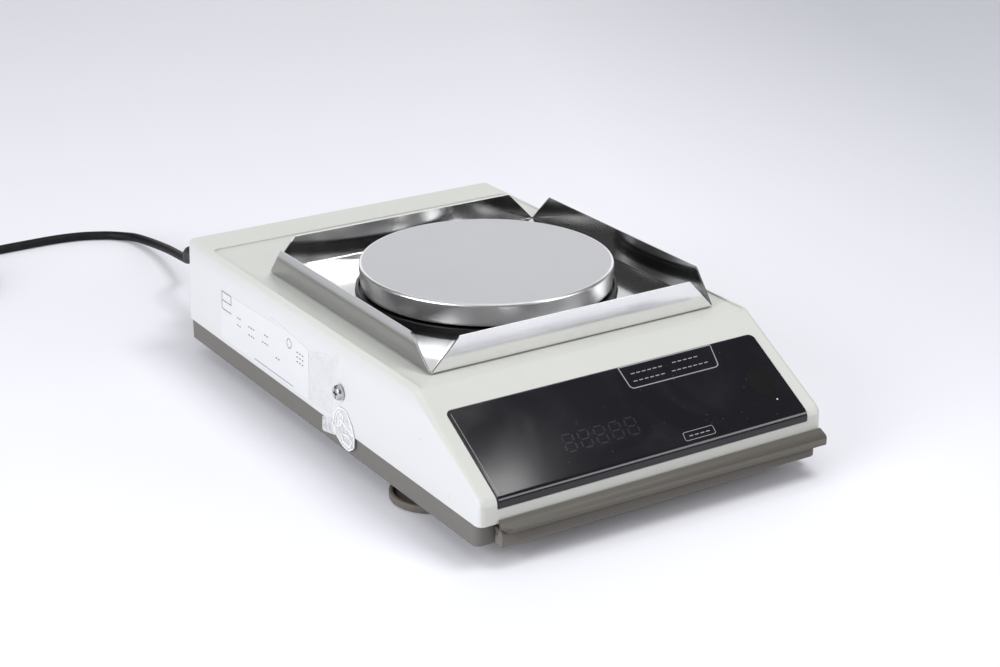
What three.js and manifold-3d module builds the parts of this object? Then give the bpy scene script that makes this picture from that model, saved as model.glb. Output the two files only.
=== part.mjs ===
// Precision balance with a round pan, a draft shield tray and a sloping display window.
// Millimetres, +Z up, front faces -Y, origin on the bench under the middle of the balance.

import * as THREE from 'three';
import { mergeVertices } from 'three/addons/utils/BufferGeometryUtils.js';
import Module from 'manifold-3d';

const wasm = await Module();
wasm.setup();

// Driving dimensions of the housing

const housingLength = 303.4;
const barReach = 7.6;
const topWidth = 192.3;
const sideDraftShare = 0.037;
const housingTop = 66;
const standHeight = 9;
const shellEdgeHeight = 20.3;
const slopeRun = 51;
const slopeDrop = 33.2;
const cornerRadius = 3.5;
const edgeRounding = 2.6;
const backSoftness = 1.7;
const foldSoftness = 0.7;
const noseSoftness = 1.4;
const shellWall = 2.5;
const slopeWall = 4.6;
const noseWall = 3.6;
const seat = 0.3;
const runningFit = 0.1;
const overrun = 1;

// Places worked out from them

const backY = (housingLength + barReach) / 2;
const noseY = backY - housingLength;
const foldY = noseY + slopeRun;
const noseTop = housingTop - slopeDrop;
const slopeAngle = Math.atan2(slopeDrop, slopeRun);
const slopeLength = Math.hypot(slopeRun, slopeDrop);
const topHalf = topWidth / 2;
const innerTop = housingTop - shellWall;

// Weighing pan and what lies round it

const panY = 1.7;
const panRadius = 65;
const panTop = 81.8;
const panSheet = 1.2;
const panRim = 11.5;
const panRimTaper = 0.9;
const panEdgeRounding = 1.4;
const rearBand = 25.2;
const topLip = 3;
const panelDrop = 0.8;
const spindleHole = 16;
const collarRadius = 66.6;
const collarWall = 1.6;
const collarHeight = 3.9;
const collarPlate = 1.1;
const collarEye = 17;
const shieldSide = 164;
const shieldSheet = 0.9;
const shieldRise = 16.6;
const shieldLean = 1.1;
const shieldCut = 15.75;
const shieldBend = 1.6;
const shieldWallCount = 4;

// Display window

const windowInset = 8.15;
const windowStart = 11.7;
const windowBand = 5.3;
const windowSheet = 2;
const windowProud = 0.3;
const windowCorner = 5;
const windowBend = 2.4;

// Base tray and feet

const trayInset = 0.89;
const trayFront = 4.1;
const trayBack = 0.6;
const trayWall = 2.4;
const trayFloor = 2;
const shadowGap = 0.5;
const wheelInset = 18.85;
const wheelSetback = 75;
const wheelRadius = 20;
const wheelHeight = 3.8;
const wheelLift = 0.5;
const wheelRimWidth = 2.2;
const wheelDish = 1.6;
const stemRadius = 4;
const stemTop = 31;
const padRadius = 13;
const padHeight = 1.2;

// Control bar

const barInsetLeft = 8.15;
const barInsetRight = 0.15;
const skirtInsetLeft = 8.15;
const skirtInsetRight = 5.15;
const barSheet = 2.4;
const skirtSheet = 2;
const skirtSetback = 4.9;
const barTopBack = 22.4;
const barTopFront = 18.9;
const barCorner = 5;
const barTaper = 1.6;
const pinRadius = 1;
const pinSetback = 2;
const pinHeight = 14.8;

// Mains lead

const leadRadius = 2.7;
const leadGap = 0.45;
const leadCoilTurns = 7.25;
const leadCoilRadius = 32.6;
const coilAside = 141;
const coilBehind = 111.4;

// Finishes

function finish(color, roughness, metalness) {
  return new THREE.MeshStandardMaterial({ color, roughness, metalness });
}

const paleShell = finish(0xd9dcd2, 0.4, 0);
const warmGrey = finish(0x84827c, 0.55, 0);
const taupe = finish(0x6f6a62, 0.55, 0);
const darkBrown = finish(0x4a4540, 0.6, 0);
const blackPlastic = finish(0x111114, 0.5, 0);
const windowBlack = finish(0x0c0c12, 0.08, 0);
const polishedSteel = finish(0xc8c8cc, 0.22, 1);
const plainSteel = finish(0x9c9ca0, 0.4, 1);
const castAluminium = finish(0xa9abad, 0.5, 1);
const brass = finish(0xb8963c, 0.35, 1);
const copper = finish(0xa8542c, 0.45, 0.8);
const magnetSteel = finish(0x55575c, 0.45, 1);
const boardGreen = finish(0x1f5a34, 0.5, 0);
const tubeGlass = finish(0x2b4a4a, 0.1, 0);
const leadBlack = finish(0x18181a, 0.5, 0);

// Solids: closed three.js geometries become manifold solids so that they can be joined and cut

function solid(geometry) {
  const bare = geometry.index ? geometry.toNonIndexed() : geometry.clone();
  bare.deleteAttribute('normal');
  bare.deleteAttribute('uv');
  const welded = mergeVertices(bare);
  const vertProperties = new Float32Array(welded.attributes.position.array);
  const triVerts = new Uint32Array(welded.index.array);
  return new wasm.Manifold(new wasm.Mesh({ numProp: 3, vertProperties, triVerts }));
}

function join(first, ...rest) {
  return rest.reduce((whole, piece) => whole.add(piece), first);
}

function cut(first, ...rest) {
  return rest.reduce((whole, piece) => whole.subtract(piece), first);
}

function geometryOf(shape) {
  const mesh = shape.getMesh();
  const geometry = new THREE.BufferGeometry();
  geometry.setAttribute('position', new THREE.BufferAttribute(mesh.vertProperties, 3));
  geometry.setIndex(new THREE.BufferAttribute(mesh.triVerts, 1));
  geometry.computeVertexNormals();
  return geometry;
}

// Outlines and simple forms

function vec(x, y) {
  return new THREE.Vector2(x, y);
}

// A closed outline through corner points, each with its own rounding.
function roundedOutline(corners) {
  const outline = new THREE.Shape();
  corners.forEach(([x, y, rounding = 0], index) => {
    const corner = vec(x, y);
    const before = corners[(index + corners.length - 1) % corners.length];
    const after = corners[(index + 1) % corners.length];
    const entry = vec(before[0], before[1]).sub(corner).setLength(rounding).add(corner);
    const leave = vec(after[0], after[1]).sub(corner).setLength(rounding).add(corner);
    if (index === 0) outline.moveTo(entry.x, entry.y);
    else outline.lineTo(entry.x, entry.y);
    if (rounding > 0) outline.quadraticCurveTo(corner.x, corner.y, leave.x, leave.y);
  });
  outline.closePath();
  return outline;
}

function rectangle(x0, x1, y0, y1, rounding = 0) {
  return roundedOutline([
    [x0, y0, rounding],
    [x1, y0, rounding],
    [x1, y1, rounding],
    [x0, y1, rounding],
  ]);
}

function extruded(outline, depth, curveSegments = 4) {
  return new THREE.ExtrudeGeometry(outline, { depth, bevelEnabled: false, curveSegments });
}

// An outline in plan, standing between two heights.
function standing(outline, z0, z1, curveSegments) {
  return extruded(outline, z1 - z0, curveSegments).translate(0, 0, z0);
}

const sideways = new THREE.Matrix4().makeBasis(
  new THREE.Vector3(0, 1, 0),
  new THREE.Vector3(0, 0, 1),
  new THREE.Vector3(1, 0, 0),
);

// A side view outline, its points (y, z), pushed across the width.
function across(outline, x0, x1, curveSegments) {
  return extruded(outline, x1 - x0, curveSegments).applyMatrix4(sideways).translate(x0, 0, 0);
}

// A front view outline, its points (x, z), pushed from front to back.
function lengthwise(outline, y0, y1, curveSegments) {
  return extruded(outline, y1 - y0, curveSegments).rotateX(Math.PI / 2).translate(0, y1, 0);
}

function block(x0, x1, y0, y1, z0, z1) {
  const box = new THREE.BoxGeometry(x1 - x0, y1 - y0, z1 - z0);
  return solid(box.translate((x0 + x1) / 2, (y0 + y1) / 2, (z0 + z1) / 2));
}

function post(x, y, z0, z1, radius, sides = 16) {
  const drum = new THREE.CylinderGeometry(radius, radius, z1 - z0, sides).rotateX(Math.PI / 2);
  return solid(drum.translate(x, y, (z0 + z1) / 2));
}

function rodAcross(x0, x1, y, z, radius, sides = 12) {
  const rod = new THREE.CylinderGeometry(radius, radius, x1 - x0, sides).rotateZ(Math.PI / 2);
  return solid(rod.translate((x0 + x1) / 2, y, z));
}

function rodLengthwise(x, y0, y1, z, radius, sides = 12) {
  return solid(new THREE.CylinderGeometry(radius, radius, y1 - y0, sides).translate(x, (y0 + y1) / 2, z));
}

// A turned piece on an upright axis; profile points are (radius, height).
function turned(profile, sides = 48) {
  return new THREE.LatheGeometry(profile.map(([r, z]) => vec(r, z)), sides).rotateX(Math.PI / 2);
}

// A round hole keeps its clearance although its wall has flat sides.
function holeRadius(radius, clearance, sides) {
  return (radius + clearance) / Math.cos(Math.PI / sides);
}

const model = new THREE.Group();

function add(name, shape, material) {
  const geometry = shape.isBufferGeometry ? shape : geometryOf(shape);
  const mesh = new THREE.Mesh(geometry, material);
  mesh.name = name;
  model.add(mesh);
  return mesh;
}

// The slope has its own frame: s runs down the slope from the fold, n stands out of it.

function onSlope(s, n) {
  const y = foldY - s * Math.cos(slopeAngle) - n * Math.sin(slopeAngle);
  const z = housingTop - s * Math.sin(slopeAngle) + n * Math.cos(slopeAngle);
  return [y, z];
}

function slopePlaced(shape) {
  const turn = new THREE.Matrix4().makeRotationX(slopeAngle);
  const place = new THREE.Matrix4().makeTranslation(0, foldY, housingTop);
  return shape.transform(place.multiply(turn).toArray());
}

function slopeBlock(x0, x1, s0, s1, n0, n1) {
  return slopePlaced(block(x0, x1, -s1, -s0, n0, n1));
}

function slopePost(x, s, n0, n1, radius, sides) {
  return slopePlaced(post(x, -s, n0, n1, radius, sides));
}

// Where the slope, offset by n, meets an upright plane at y.
function slopeHeightAt(y, n) {
  const [startY, startZ] = onSlope(0, n);
  return startZ - (startY - y) * Math.tan(slopeAngle);
}

// Where the slope, offset by n, meets a level at z.
function slopePlaceAt(z, n) {
  const [startY, startZ] = onSlope(0, n);
  return startY - (startZ - z) / Math.tan(slopeAngle);
}

// Upper shell

function leanedSides(geometry) {
  const places = geometry.attributes.position;
  for (let i = 0; i < places.count; i += 1) {
    const growth = 1 + (sideDraftShare * (housingTop - places.getZ(i))) / topHalf;
    places.setX(i, places.getX(i) * growth);
  }
  return geometry;
}

function shellBody(side, back, top, slope, nose, bottom, rounding, corner) {
  const outline = roundedOutline([
    [backY - back, bottom],
    [backY - back, housingTop - top, backSoftness * rounding],
    [slopePlaceAt(housingTop - top, -slope), housingTop - top, foldSoftness * rounding],
    [noseY + nose, slopeHeightAt(noseY + nose, -slope), noseSoftness * rounding],
    [noseY + nose, bottom],
  ]);
  const half = topHalf - side;
  const form = new THREE.ExtrudeGeometry(outline, {
    depth: 2 * (half - rounding),
    bevelEnabled: rounding > 0,
    bevelThickness: rounding,
    bevelSize: rounding,
    bevelOffset: -rounding,
    bevelSegments: 3,
    curveSegments: 3,
  });
  form.applyMatrix4(sideways).translate(rounding - half, 0, 0);
  const plan = rectangle(-half, half, noseY + nose, backY - back, corner);
  const column = standing(plan, bottom, housingTop);
  return solid(leanedSides(form)).intersect(solid(leanedSides(column)));
}

const shellUnderside = shellEdgeHeight - 2 * edgeRounding;
const sideScrewSetback = 127;
const sideScrewY = noseY + sideScrewSetback;
const sideScrewZ = 39.2;
const sideScrewRadius = 2;
const caseScrewInset = 12.15;
const caseScrewSetback = 12.9;
const caseScrewX = topHalf - caseScrewInset;
const caseScrewY = backY - caseScrewSetback;
const caseScrewRadius = 1.75;
const shellPostRadius = 4.4;
const shellPostFoot = 13.4;
const rearOpeningInset = 12.15;
const rearOpeningHalf = topHalf - rearOpeningInset;
const rearOpeningTop = 50;
const windowHalf = topHalf - windowInset;
const apertureInset = 22;
const apertureHalf = windowHalf - apertureInset;
const apertureStart = 22;
const apertureEnd = 50;
const displayBoardGap = 8;
const displayBossInset = 14;
const displayBossX = windowHalf - displayBossInset;
const displayBossRadius = 2.6;

function windowOutline(clearance, sheet) {
  const outer = windowProud + clearance;
  const inner = windowProud - sheet - clearance;
  const bandEnd = noseTop - windowBand - clearance;
  const front = noseY - outer;
  const back = noseY - inner;
  return roundedOutline([
    onSlope(windowStart - clearance, outer),
    onSlope(windowStart - clearance, inner),
    [back, slopeHeightAt(back, inner)],
    [back, bandEnd],
    [front, bandEnd],
    [front, slopeHeightAt(front, outer), windowBend + clearance],
  ]);
}

function windowForm(clearance, depthBelow, heightAbove) {
  const half = windowHalf + clearance;
  const panel = solid(across(windowOutline(clearance, windowSheet), -half, half));
  const start = windowStart - clearance;
  const face = rectangle(-half, half, -2 * slopeLength, -start, windowCorner);
  const gauge = slopePlaced(solid(standing(face, -depthBelow, heightAbove)));
  return panel.intersect(gauge);
}

function sideScrewHoles(radius) {
  return rodAcross(-topWidth, topWidth, sideScrewY, sideScrewZ, radius);
}

function upperShell() {
  const outer = shellBody(0, 0, 0, 0, 0, shellUnderside, edgeRounding, cornerRadius);
  const inner = shellBody(shellWall, shellWall, shellWall, slopeWall, noseWall, 0, 0, cornerRadius);
  const panelLevel = housingTop - panelDrop;
  const panelHalf = topHalf - topLip;
  const recess = block(-panelHalf, panelHalf, noseY, backY - rearBand, panelLevel, 2 * housingTop);
  const bosses = [];
  for (const side of [-1, 1]) {
    const bossTop = innerTop + shellWall / 2;
    bosses.push(post(side * caseScrewX, caseScrewY, shellPostFoot, bossTop, shellPostRadius));
    for (const s of [apertureStart, apertureEnd]) {
      const foot = -slopeWall - displayBoardGap + seat;
      bosses.push(slopePost(side * displayBossX, s, foot, -slopeWall / 2 - windowSheet / 2, displayBossRadius));
    }
  }
  const holes = [block(-topWidth, topWidth, -housingLength, housingLength, -overrun, shellEdgeHeight)];
  holes.push(windowForm(seat, housingTop, housingTop));
  holes.push(slopeBlock(-apertureHalf, apertureHalf, apertureStart, apertureEnd, -slopeWall - overrun, overrun));
  holes.push(post(0, panY, innerTop - overrun, housingTop + overrun, spindleHole, 32));
  const rearInside = backY - shellWall - overrun;
  holes.push(block(-rearOpeningHalf, rearOpeningHalf, rearInside, backY + overrun, 0, rearOpeningTop));
  holes.push(sideScrewHoles(holeRadius(sideScrewRadius, seat, 12)));
  for (const side of [-1, 1]) {
    const top = shellPostFoot + (innerTop - shellPostFoot) / 3;
    const bore = holeRadius(caseScrewRadius, seat, 16);
    holes.push(post(side * caseScrewX, caseScrewY, shellPostFoot - overrun, top, bore));
  }
  const hollow = cut(outer, inner, recess);
  const trimmed = block(-topWidth, topWidth, -housingLength, housingLength, shellEdgeHeight, 2 * housingTop);
  const walls = hollow.intersect(trimmed);
  return cut(join(walls, ...bosses), ...holes.slice(1));
}

add('upper_shell', upperShell(), paleShell);
add('display_window', windowForm(0, housingTop, housingTop), windowBlack);

// Base tray

const shellEdgeHalf = topHalf + sideDraftShare * (housingTop - shellEdgeHeight);
const trayHalf = shellEdgeHalf - trayInset;
const trayFrontY = noseY + trayFront;
const trayBackY = backY - trayBack;
const trayTop = shellEdgeHeight - shadowGap;
const floorTop = standHeight + trayFloor;
const shellInnerHalf = shellEdgeHalf - shellWall;
const upstandHalf = shellInnerHalf - 2 * seat;
const upstandTop = 24;
const upstandEnds = 12;
const lugHalf = shellInnerHalf - 5 * seat;
const lugWidth = 12;
const lugTop = 46;
const insertRadius = 5.5;
const insertHeight = 11;
const footBossWall = 3.2;
const wheelX = trayHalf - wheelInset;
const wheelY = noseY + wheelSetback;
const rearFootInset = 26.95;
const rearFootSetback = 34.9;
const rearFootX = trayHalf - rearFootInset;
const rearFootY = backY - rearFootSetback;
const rearFootStem = 3;
const barLeft = barInsetLeft - topHalf;
const barRight = topHalf - barInsetRight;
const skirtLeft = skirtInsetLeft - topHalf;
const skirtRight = topHalf - skirtInsetRight;
const pinEarThick = 3;
const pinEarRadius = 2.1;
const pinY = noseY + pinSetback;
const plungerHeight = 12.5;
const plungerRadius = 0.9;
const caseHeadRadius = 3.5;
const caseHeadHeight = 1.6;
const trayBossRadius = 6.4;
const trayBossTop = shellPostFoot - seat;
const standoffRadius = 3;

// The rear panel, the weighing cell and the boards are placed before the tray, which carries them.

const panelSheet = 1.2;
const rearPanelHalf = rearOpeningHalf + panelSheet + 2 * seat;
const rearPanelTop = 53;
const rearPanelBack = trayBackY - trayWall - seat;
const rearPanelFront = rearPanelBack - panelSheet;

const cellHalfShare = 0.354;
const cellEnds = 1.4;
const cellLead = 12.3;
const cellPlate = 6;
const cellBase = 16;
const magnetShare = 0.187;
const magnetRadius = magnetShare * topHalf;
const magnetAway = 3;
const sensorDepth = 5;
const blockDepth = 16;
const blockAway = 4;
const cellFrameHalf = cellHalfShare * topHalf;
const cellFrameFront = panY - cellLead;
const cellFrameBack = rearPanelFront - cellEnds;
const sensorBack = cellFrameBack - magnetAway;
const sensorFront = sensorBack - sensorDepth;
const magnetY = sensorFront - magnetAway - magnetRadius;
const blockBack = magnetY - magnetRadius - blockAway;
const blockFront = blockBack - blockDepth;
const cellFootInset = 6;
const cellFootX = cellFrameHalf - cellFootInset;
const cellFrontY = panY - cellLead / 3;
const cellBackY = magnetY + magnetRadius - blockAway;

const boardHeight = 17;
const boardSheet = 1.6;
const boardEdge = 4;
const boardAway = 6;
const boardInset = 8.95;
const boardFrontSetback = 93.3;
const boardBackSetback = 32.4;
const boardLeft = cellFrameHalf + boardAway;
const boardRight = trayHalf - boardInset;
const boardFront = noseY + boardFrontSetback;
const boardBack = rearPanelFront - boardBackSetback;

const coreWidth = 42;
const coreDepth = 34;
const coreInset = 9.6;
const coreSetback = 56.4;
const coreX = coreInset + coreWidth / 2 - trayHalf;
const coreY = rearPanelFront - coreSetback;
const slotCount = 6;
const slotLength = 30;
const slotWidth = 2.6;
const slotPitch = 6.4;
const slotY = coreY - coreDepth;

function controlBarEars() {
  const ears = [];
  const inner = [skirtLeft + skirtSheet + seat, skirtRight - skirtSheet - seat - pinEarThick];
  for (const x of inner) {
    const eye = rodAcross(x, x + pinEarThick, pinY, pinHeight, pinEarRadius);
    const root = block(x, x + pinEarThick, pinY, trayFrontY + overrun, pinHeight - pinEarRadius, pinHeight + pinEarRadius);
    ears.push(join(eye, root));
  }
  return ears;
}

function baseTray() {
  const plan = rectangle(-trayHalf, trayHalf, trayFrontY, trayBackY, cornerRadius);
  const insideHalf = trayHalf - trayWall;
  const insideFront = trayFrontY + trayWall;
  const insideBack = trayBackY - trayWall;
  const inside = rectangle(-insideHalf, insideHalf, insideFront, insideBack, cornerRadius - trayWall);
  const dish = cut(
    solid(standing(plan, standHeight, trayTop)),
    solid(standing(inside, floorTop, trayTop + overrun)),
  );
  const added = [...controlBarEars()];
  const holes = [];
  for (const side of [-1, 1]) {
    const upstand = [side * upstandHalf, side * (insideHalf - trayWall / 2)].sort((a, b) => a - b);
    const strip = [insideFront + upstandEnds, insideBack - 2 * upstandEnds];
    added.push(block(...upstand, ...strip, floorTop - overrun, upstandTop));
    const lug = [side * lugHalf, side * (lugHalf - 2 * trayWall)].sort((a, b) => a - b);
    const reach = lugWidth / 2;
    added.push(block(...lug, sideScrewY - reach, sideScrewY + reach, floorTop - overrun, lugTop));
    const bossRadius = insertRadius + seat + footBossWall;
    added.push(post(side * wheelX, wheelY, floorTop - overrun, floorTop + insertHeight, bossRadius, 24));
    holes.push(post(side * wheelX, wheelY, floorTop, floorTop + insertHeight + overrun, holeRadius(insertRadius, seat, 24), 24));
    holes.push(post(side * wheelX, wheelY, 0, floorTop + overrun, holeRadius(stemRadius, seat, 24), 24));
    holes.push(post(side * rearFootX, rearFootY, 0, floorTop + overrun, holeRadius(rearFootStem, seat, 16)));
    added.push(post(side * caseScrewX, caseScrewY, floorTop - overrun, trayBossTop, trayBossRadius));
    const headSeat = standHeight + caseHeadHeight + seat;
    holes.push(post(side * caseScrewX, caseScrewY, 0, headSeat, holeRadius(caseHeadRadius, seat, 16)));
    holes.push(post(side * caseScrewX, caseScrewY, 0, 2 * trayBossTop, holeRadius(caseScrewRadius, seat, 16)));
    for (const y of [cellFrontY, cellBackY]) {
      added.push(post(side * cellFootX, y, floorTop - overrun, cellBase - seat, standoffRadius));
    }
  }
  for (const x of [boardLeft + boardEdge, boardRight - boardEdge]) {
    for (const y of [boardFront + boardEdge, boardBack - boardEdge]) {
      added.push(post(x, y, floorTop - overrun, boardHeight - seat, standoffRadius));
    }
  }
  for (let i = 0; i < slotCount; i += 1) {
    const x = coreX + (i - (slotCount - 1) / 2) * slotPitch;
    const slot = rectangle(x - slotWidth / 2, x + slotWidth / 2, slotY, slotY + slotLength, slotWidth / 2);
    holes.push(solid(standing(slot, 0, floorTop + overrun, 3)));
  }
  holes.push(rodLengthwise(0, trayFrontY - overrun, insideFront + overrun, plungerHeight, holeRadius(plungerRadius, runningFit, 12)));
  holes.push(sideScrewHoles(holeRadius(sideScrewRadius, seat, 12)));
  holes.push(rodAcross(skirtLeft, skirtRight, pinY, pinHeight, holeRadius(pinRadius, seat, 12)));
  return cut(join(dish, ...added), ...holes);
}

add('base_tray', baseTray(), warmGrey);

// Control bar, hinged on two pins in the ears of the tray

// The lip reaches further out towards the right end of the bar than at its left end.
function taperedReach(geometry, back, reach) {
  const places = geometry.attributes.position;
  for (let i = 0; i < places.count; i += 1) {
    const share = (back - places.getY(i)) / reach;
    places.setY(i, places.getY(i) - (barTaper * share * places.getX(i)) / topHalf);
  }
  return geometry;
}

function controlBar() {
  const front = noseY - barReach;
  const skirtFront = front + skirtSetback;
  const skirtBack = skirtFront + skirtSheet;
  const backEdge = noseY - 1.5 * seat;
  const flangeSide = roundedOutline([
    [backEdge, barTopBack],
    [front, barTopFront, barSheet / 2],
    [front, barTopFront - barSheet, barSheet / 2],
    [backEdge, barTopBack - barSheet],
  ]);
  const plan = roundedOutline([
    [barLeft, front + barTaper, barCorner],
    [barRight, front - barTaper, barCorner],
    [barRight, backEdge, seat],
    [barLeft, backEdge, seat],
  ]);
  const sheet = taperedReach(across(flangeSide, barLeft, barRight), backEdge, backEdge - front);
  const flange = solid(sheet).intersect(solid(standing(plan, 0, housingTop, 5)));
  const under = barTopFront - barSheet / 2;
  const webTop = barTopBack - barSheet;
  const skirt = block(skirtLeft, skirtRight, skirtFront, skirtBack, standHeight, webTop);
  const cheekBack = pinY + pinSetback / 2;
  const cheeks = [skirtLeft, skirtRight - skirtSheet].flatMap((x) => [
    block(x, x + skirtSheet, skirtFront, cheekBack, standHeight, under),
    block(x, x + skirtSheet, skirtFront, backEdge, under - overrun, webTop),
  ]);
  const ribBack = trayFrontY - 3 * seat;
  const rib = block(-pinEarThick, pinEarThick, skirtFront, ribBack, plungerHeight - barSheet / 2, plungerHeight + barSheet / 2);
  const pinHole = rodAcross(barLeft, barRight, pinY, pinHeight, holeRadius(pinRadius, runningFit, 12));
  return cut(join(flange, skirt, ...cheeks, rib), pinHole);
}

add('control_bar', controlBar(), taupe);

const pinLength = skirtSheet + pinEarThick;
add('pivot_pin_left', rodAcross(skirtLeft, skirtLeft + pinLength, pinY, pinHeight, pinRadius), plainSteel);
add('pivot_pin_right', rodAcross(skirtRight - pinLength, skirtRight, pinY, pinHeight, pinRadius), plainSteel);

const switchWidth = 20;
const switchDepth = 10;
const switchHeight = 6.4;
const switchFront = trayFrontY + trayWall + seat;
const switchBlock = block(
  -switchWidth / 2, switchWidth / 2,
  switchFront, switchFront + switchDepth,
  floorTop + seat, floorTop + seat + switchHeight,
);
const plungerTip = trayFrontY - 2 * seat;
const plungerEnd = switchFront + switchDepth / 3;
const plungerStroke = seat;
const plungerBore = rodLengthwise(
  0, switchFront - overrun, plungerEnd + 2 * plungerStroke, plungerHeight,
  holeRadius(plungerRadius, runningFit, 12),
);
add('bar_switch', cut(switchBlock, plungerBore), blackPlastic);
add('switch_plunger', rodLengthwise(0, plungerTip, plungerEnd, plungerHeight, plungerRadius), plainSteel);

// Levelling feet, glide pads, thread inserts and the fixed rear feet

const wheelSides = 40;
const wheelTop = wheelLift + wheelHeight;
const padRecess = padHeight + seat;
const wheelEdge = 0.6;
const wheelHub = 8;
const dishRadius = wheelRadius - wheelRimWidth;
const wheelProfile = [
  [0, padRecess],
  [padRadius + seat, padRecess],
  [padRadius + seat, wheelLift],
  [wheelRadius - wheelEdge, wheelLift],
  [wheelRadius, wheelLift + wheelEdge],
  [wheelRadius, wheelTop - wheelEdge],
  [wheelRadius - wheelEdge, wheelTop],
  [dishRadius, wheelTop],
  [dishRadius - wheelDish / 2, wheelTop - wheelDish],
  [wheelHub, wheelTop - wheelDish],
  [wheelHub, wheelTop],
  [stemRadius, wheelTop],
  [stemRadius, stemTop - stemRadius / 2],
  [stemRadius / 2, stemTop],
  [0, stemTop],
];
const insertProfile = [
  [stemRadius + runningFit, floorTop + seat],
  [insertRadius, floorTop + seat],
  [insertRadius, floorTop + insertHeight],
  [stemRadius + runningFit, floorTop + insertHeight],
  [stemRadius + runningFit, floorTop + seat],
];
const rearFootRadius = 10;
const rearFootTaper = 1.2;
const rearFootBulb = 0.2;
const rearFootProfile = [
  [0, 0],
  [rearFootRadius - rearFootTaper, 0],
  [rearFootRadius, standHeight - seat],
  [rearFootStem, standHeight - seat],
  [rearFootStem, floorTop + trayFloor],
  [rearFootStem - 2 * rearFootBulb, floorTop + 1.5 * trayFloor],
  [0, floorTop + 1.5 * trayFloor],
];
for (const [side, x] of [['left', -1], ['right', 1]]) {
  add(`levelling_wheel_${side}`, turned(wheelProfile, wheelSides).translate(x * wheelX, wheelY, 0), darkBrown);
  const padProfile = [[0, 0], [padRadius, 0], [padRadius, padHeight], [0, padHeight]];
  add(`glide_pad_${side}`, turned(padProfile, 32).translate(x * wheelX, wheelY, 0), blackPlastic);
  add(`thread_insert_${side}`, turned(insertProfile, wheelSides).translate(x * wheelX, wheelY, 0), brass);
  add(`rear_foot_${side}`, turned(rearFootProfile, 24).translate(x * rearFootX, rearFootY, 0), blackPlastic);
}

// Screws: one in each side of the shell, two from below at the back

const sideHeadRadius = 4;
const sideHeadHeight = 2.8;
const sideScrewLength = 9;
const sideScrewSlot = 1;
const sideScrewProfile = [
  [0, -sideScrewLength],
  [sideScrewRadius, -sideScrewLength],
  [sideScrewRadius, 0],
  [sideHeadRadius, 0],
  [sideHeadRadius, sideHeadHeight / 2],
  [0.8 * sideHeadRadius, sideHeadHeight],
  [0, sideHeadHeight],
];
const sideFace = topHalf + sideDraftShare * (housingTop - sideScrewZ + sideHeadRadius) + seat;
for (const [side, x] of [['left', -1], ['right', 1]]) {
  const slot = block(-sideHeadRadius, sideHeadRadius, -sideScrewSlot / 2, sideScrewSlot / 2, sideHeadHeight / 2, 2 * sideHeadHeight);
  const screw = cut(solid(turned(sideScrewProfile, 20)), slot);
  const laid = new THREE.Matrix4().makeRotationY((x * Math.PI) / 2);
  const place = new THREE.Matrix4().makeTranslation(x * sideFace, sideScrewY, sideScrewZ);
  add(`side_screw_${side}`, screw.transform(place.multiply(laid).toArray()), polishedSteel);
  const caseTop = shellPostFoot + (innerTop - shellPostFoot) / 4;
  const caseScrewProfile = [
    [0, standHeight],
    [caseHeadRadius, standHeight],
    [caseHeadRadius, standHeight + caseHeadHeight],
    [caseScrewRadius, standHeight + caseHeadHeight],
    [caseScrewRadius, caseTop],
    [0, caseTop],
  ];
  add(`case_screw_${side}`, turned(caseScrewProfile, 16).translate(x * caseScrewX, caseScrewY, 0), plainSteel);
}

// Collar, draft shield and weighing pan

const panelTop = housingTop - panelDrop;
const collarBottom = panelTop + seat;
const collarTop = collarBottom + collarHeight;
const collarEyeRise = 1.9;
const collarInner = collarRadius - collarWall;
const collarProfile = [
  [collarEye, collarBottom],
  [collarRadius, collarBottom],
  [collarRadius, collarTop],
  [collarInner, collarTop],
  [collarInner, collarBottom + collarPlate],
  [collarEye + collarWall, collarBottom + collarPlate],
  [collarEye + collarWall, collarBottom + collarEyeRise],
  [collarEye, collarBottom + collarEyeRise],
  [collarEye, collarBottom],
];
add('pan_collar', turned(collarProfile, 64).translate(0, panY, 0), blackPlastic);

function draftShield() {
  const half = shieldSide / 2;
  const bottom = collarBottom;
  const top = bottom + shieldRise;
  const inside = half - shieldSheet;
  const plateEdge = half - shieldBend;
  const plate = standing(rectangle(-plateEdge, plateEdge, -plateEdge, plateEdge), bottom, bottom + shieldSheet);
  const hole = post(0, 0, bottom - overrun, top, holeRadius(collarRadius, seat, 64), 64);
  const wallSide = roundedOutline([
    [plateEdge - shieldBend, bottom],
    [half, bottom, shieldBend],
    [half + shieldLean, top],
    [half + shieldLean - shieldSheet, top],
    [inside, bottom + shieldSheet, shieldBend - shieldSheet],
    [plateEdge - shieldBend, bottom + shieldSheet],
  ]);
  const wall = solid(across(wallSide, -half, half));
  const face = roundedOutline([
    [-half, bottom],
    [half, bottom],
    [half - shieldCut, top],
    [shieldCut - half, top],
  ]);
  const trimmed = wall.intersect(solid(lengthwise(face, 0, 2 * half)));
  const walls = [];
  for (let wallCount = 0; wallCount < shieldWallCount; wallCount += 1) {
    const turn = new THREE.Matrix4().makeRotationZ((2 * wallCount * Math.PI) / shieldWallCount);
    walls.push(trimmed.transform(turn.toArray()));
  }
  return cut(join(solid(plate), ...walls), hole).translate([0, panY, 0]);
}

add('draft_shield', draftShield(), polishedSteel);

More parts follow.
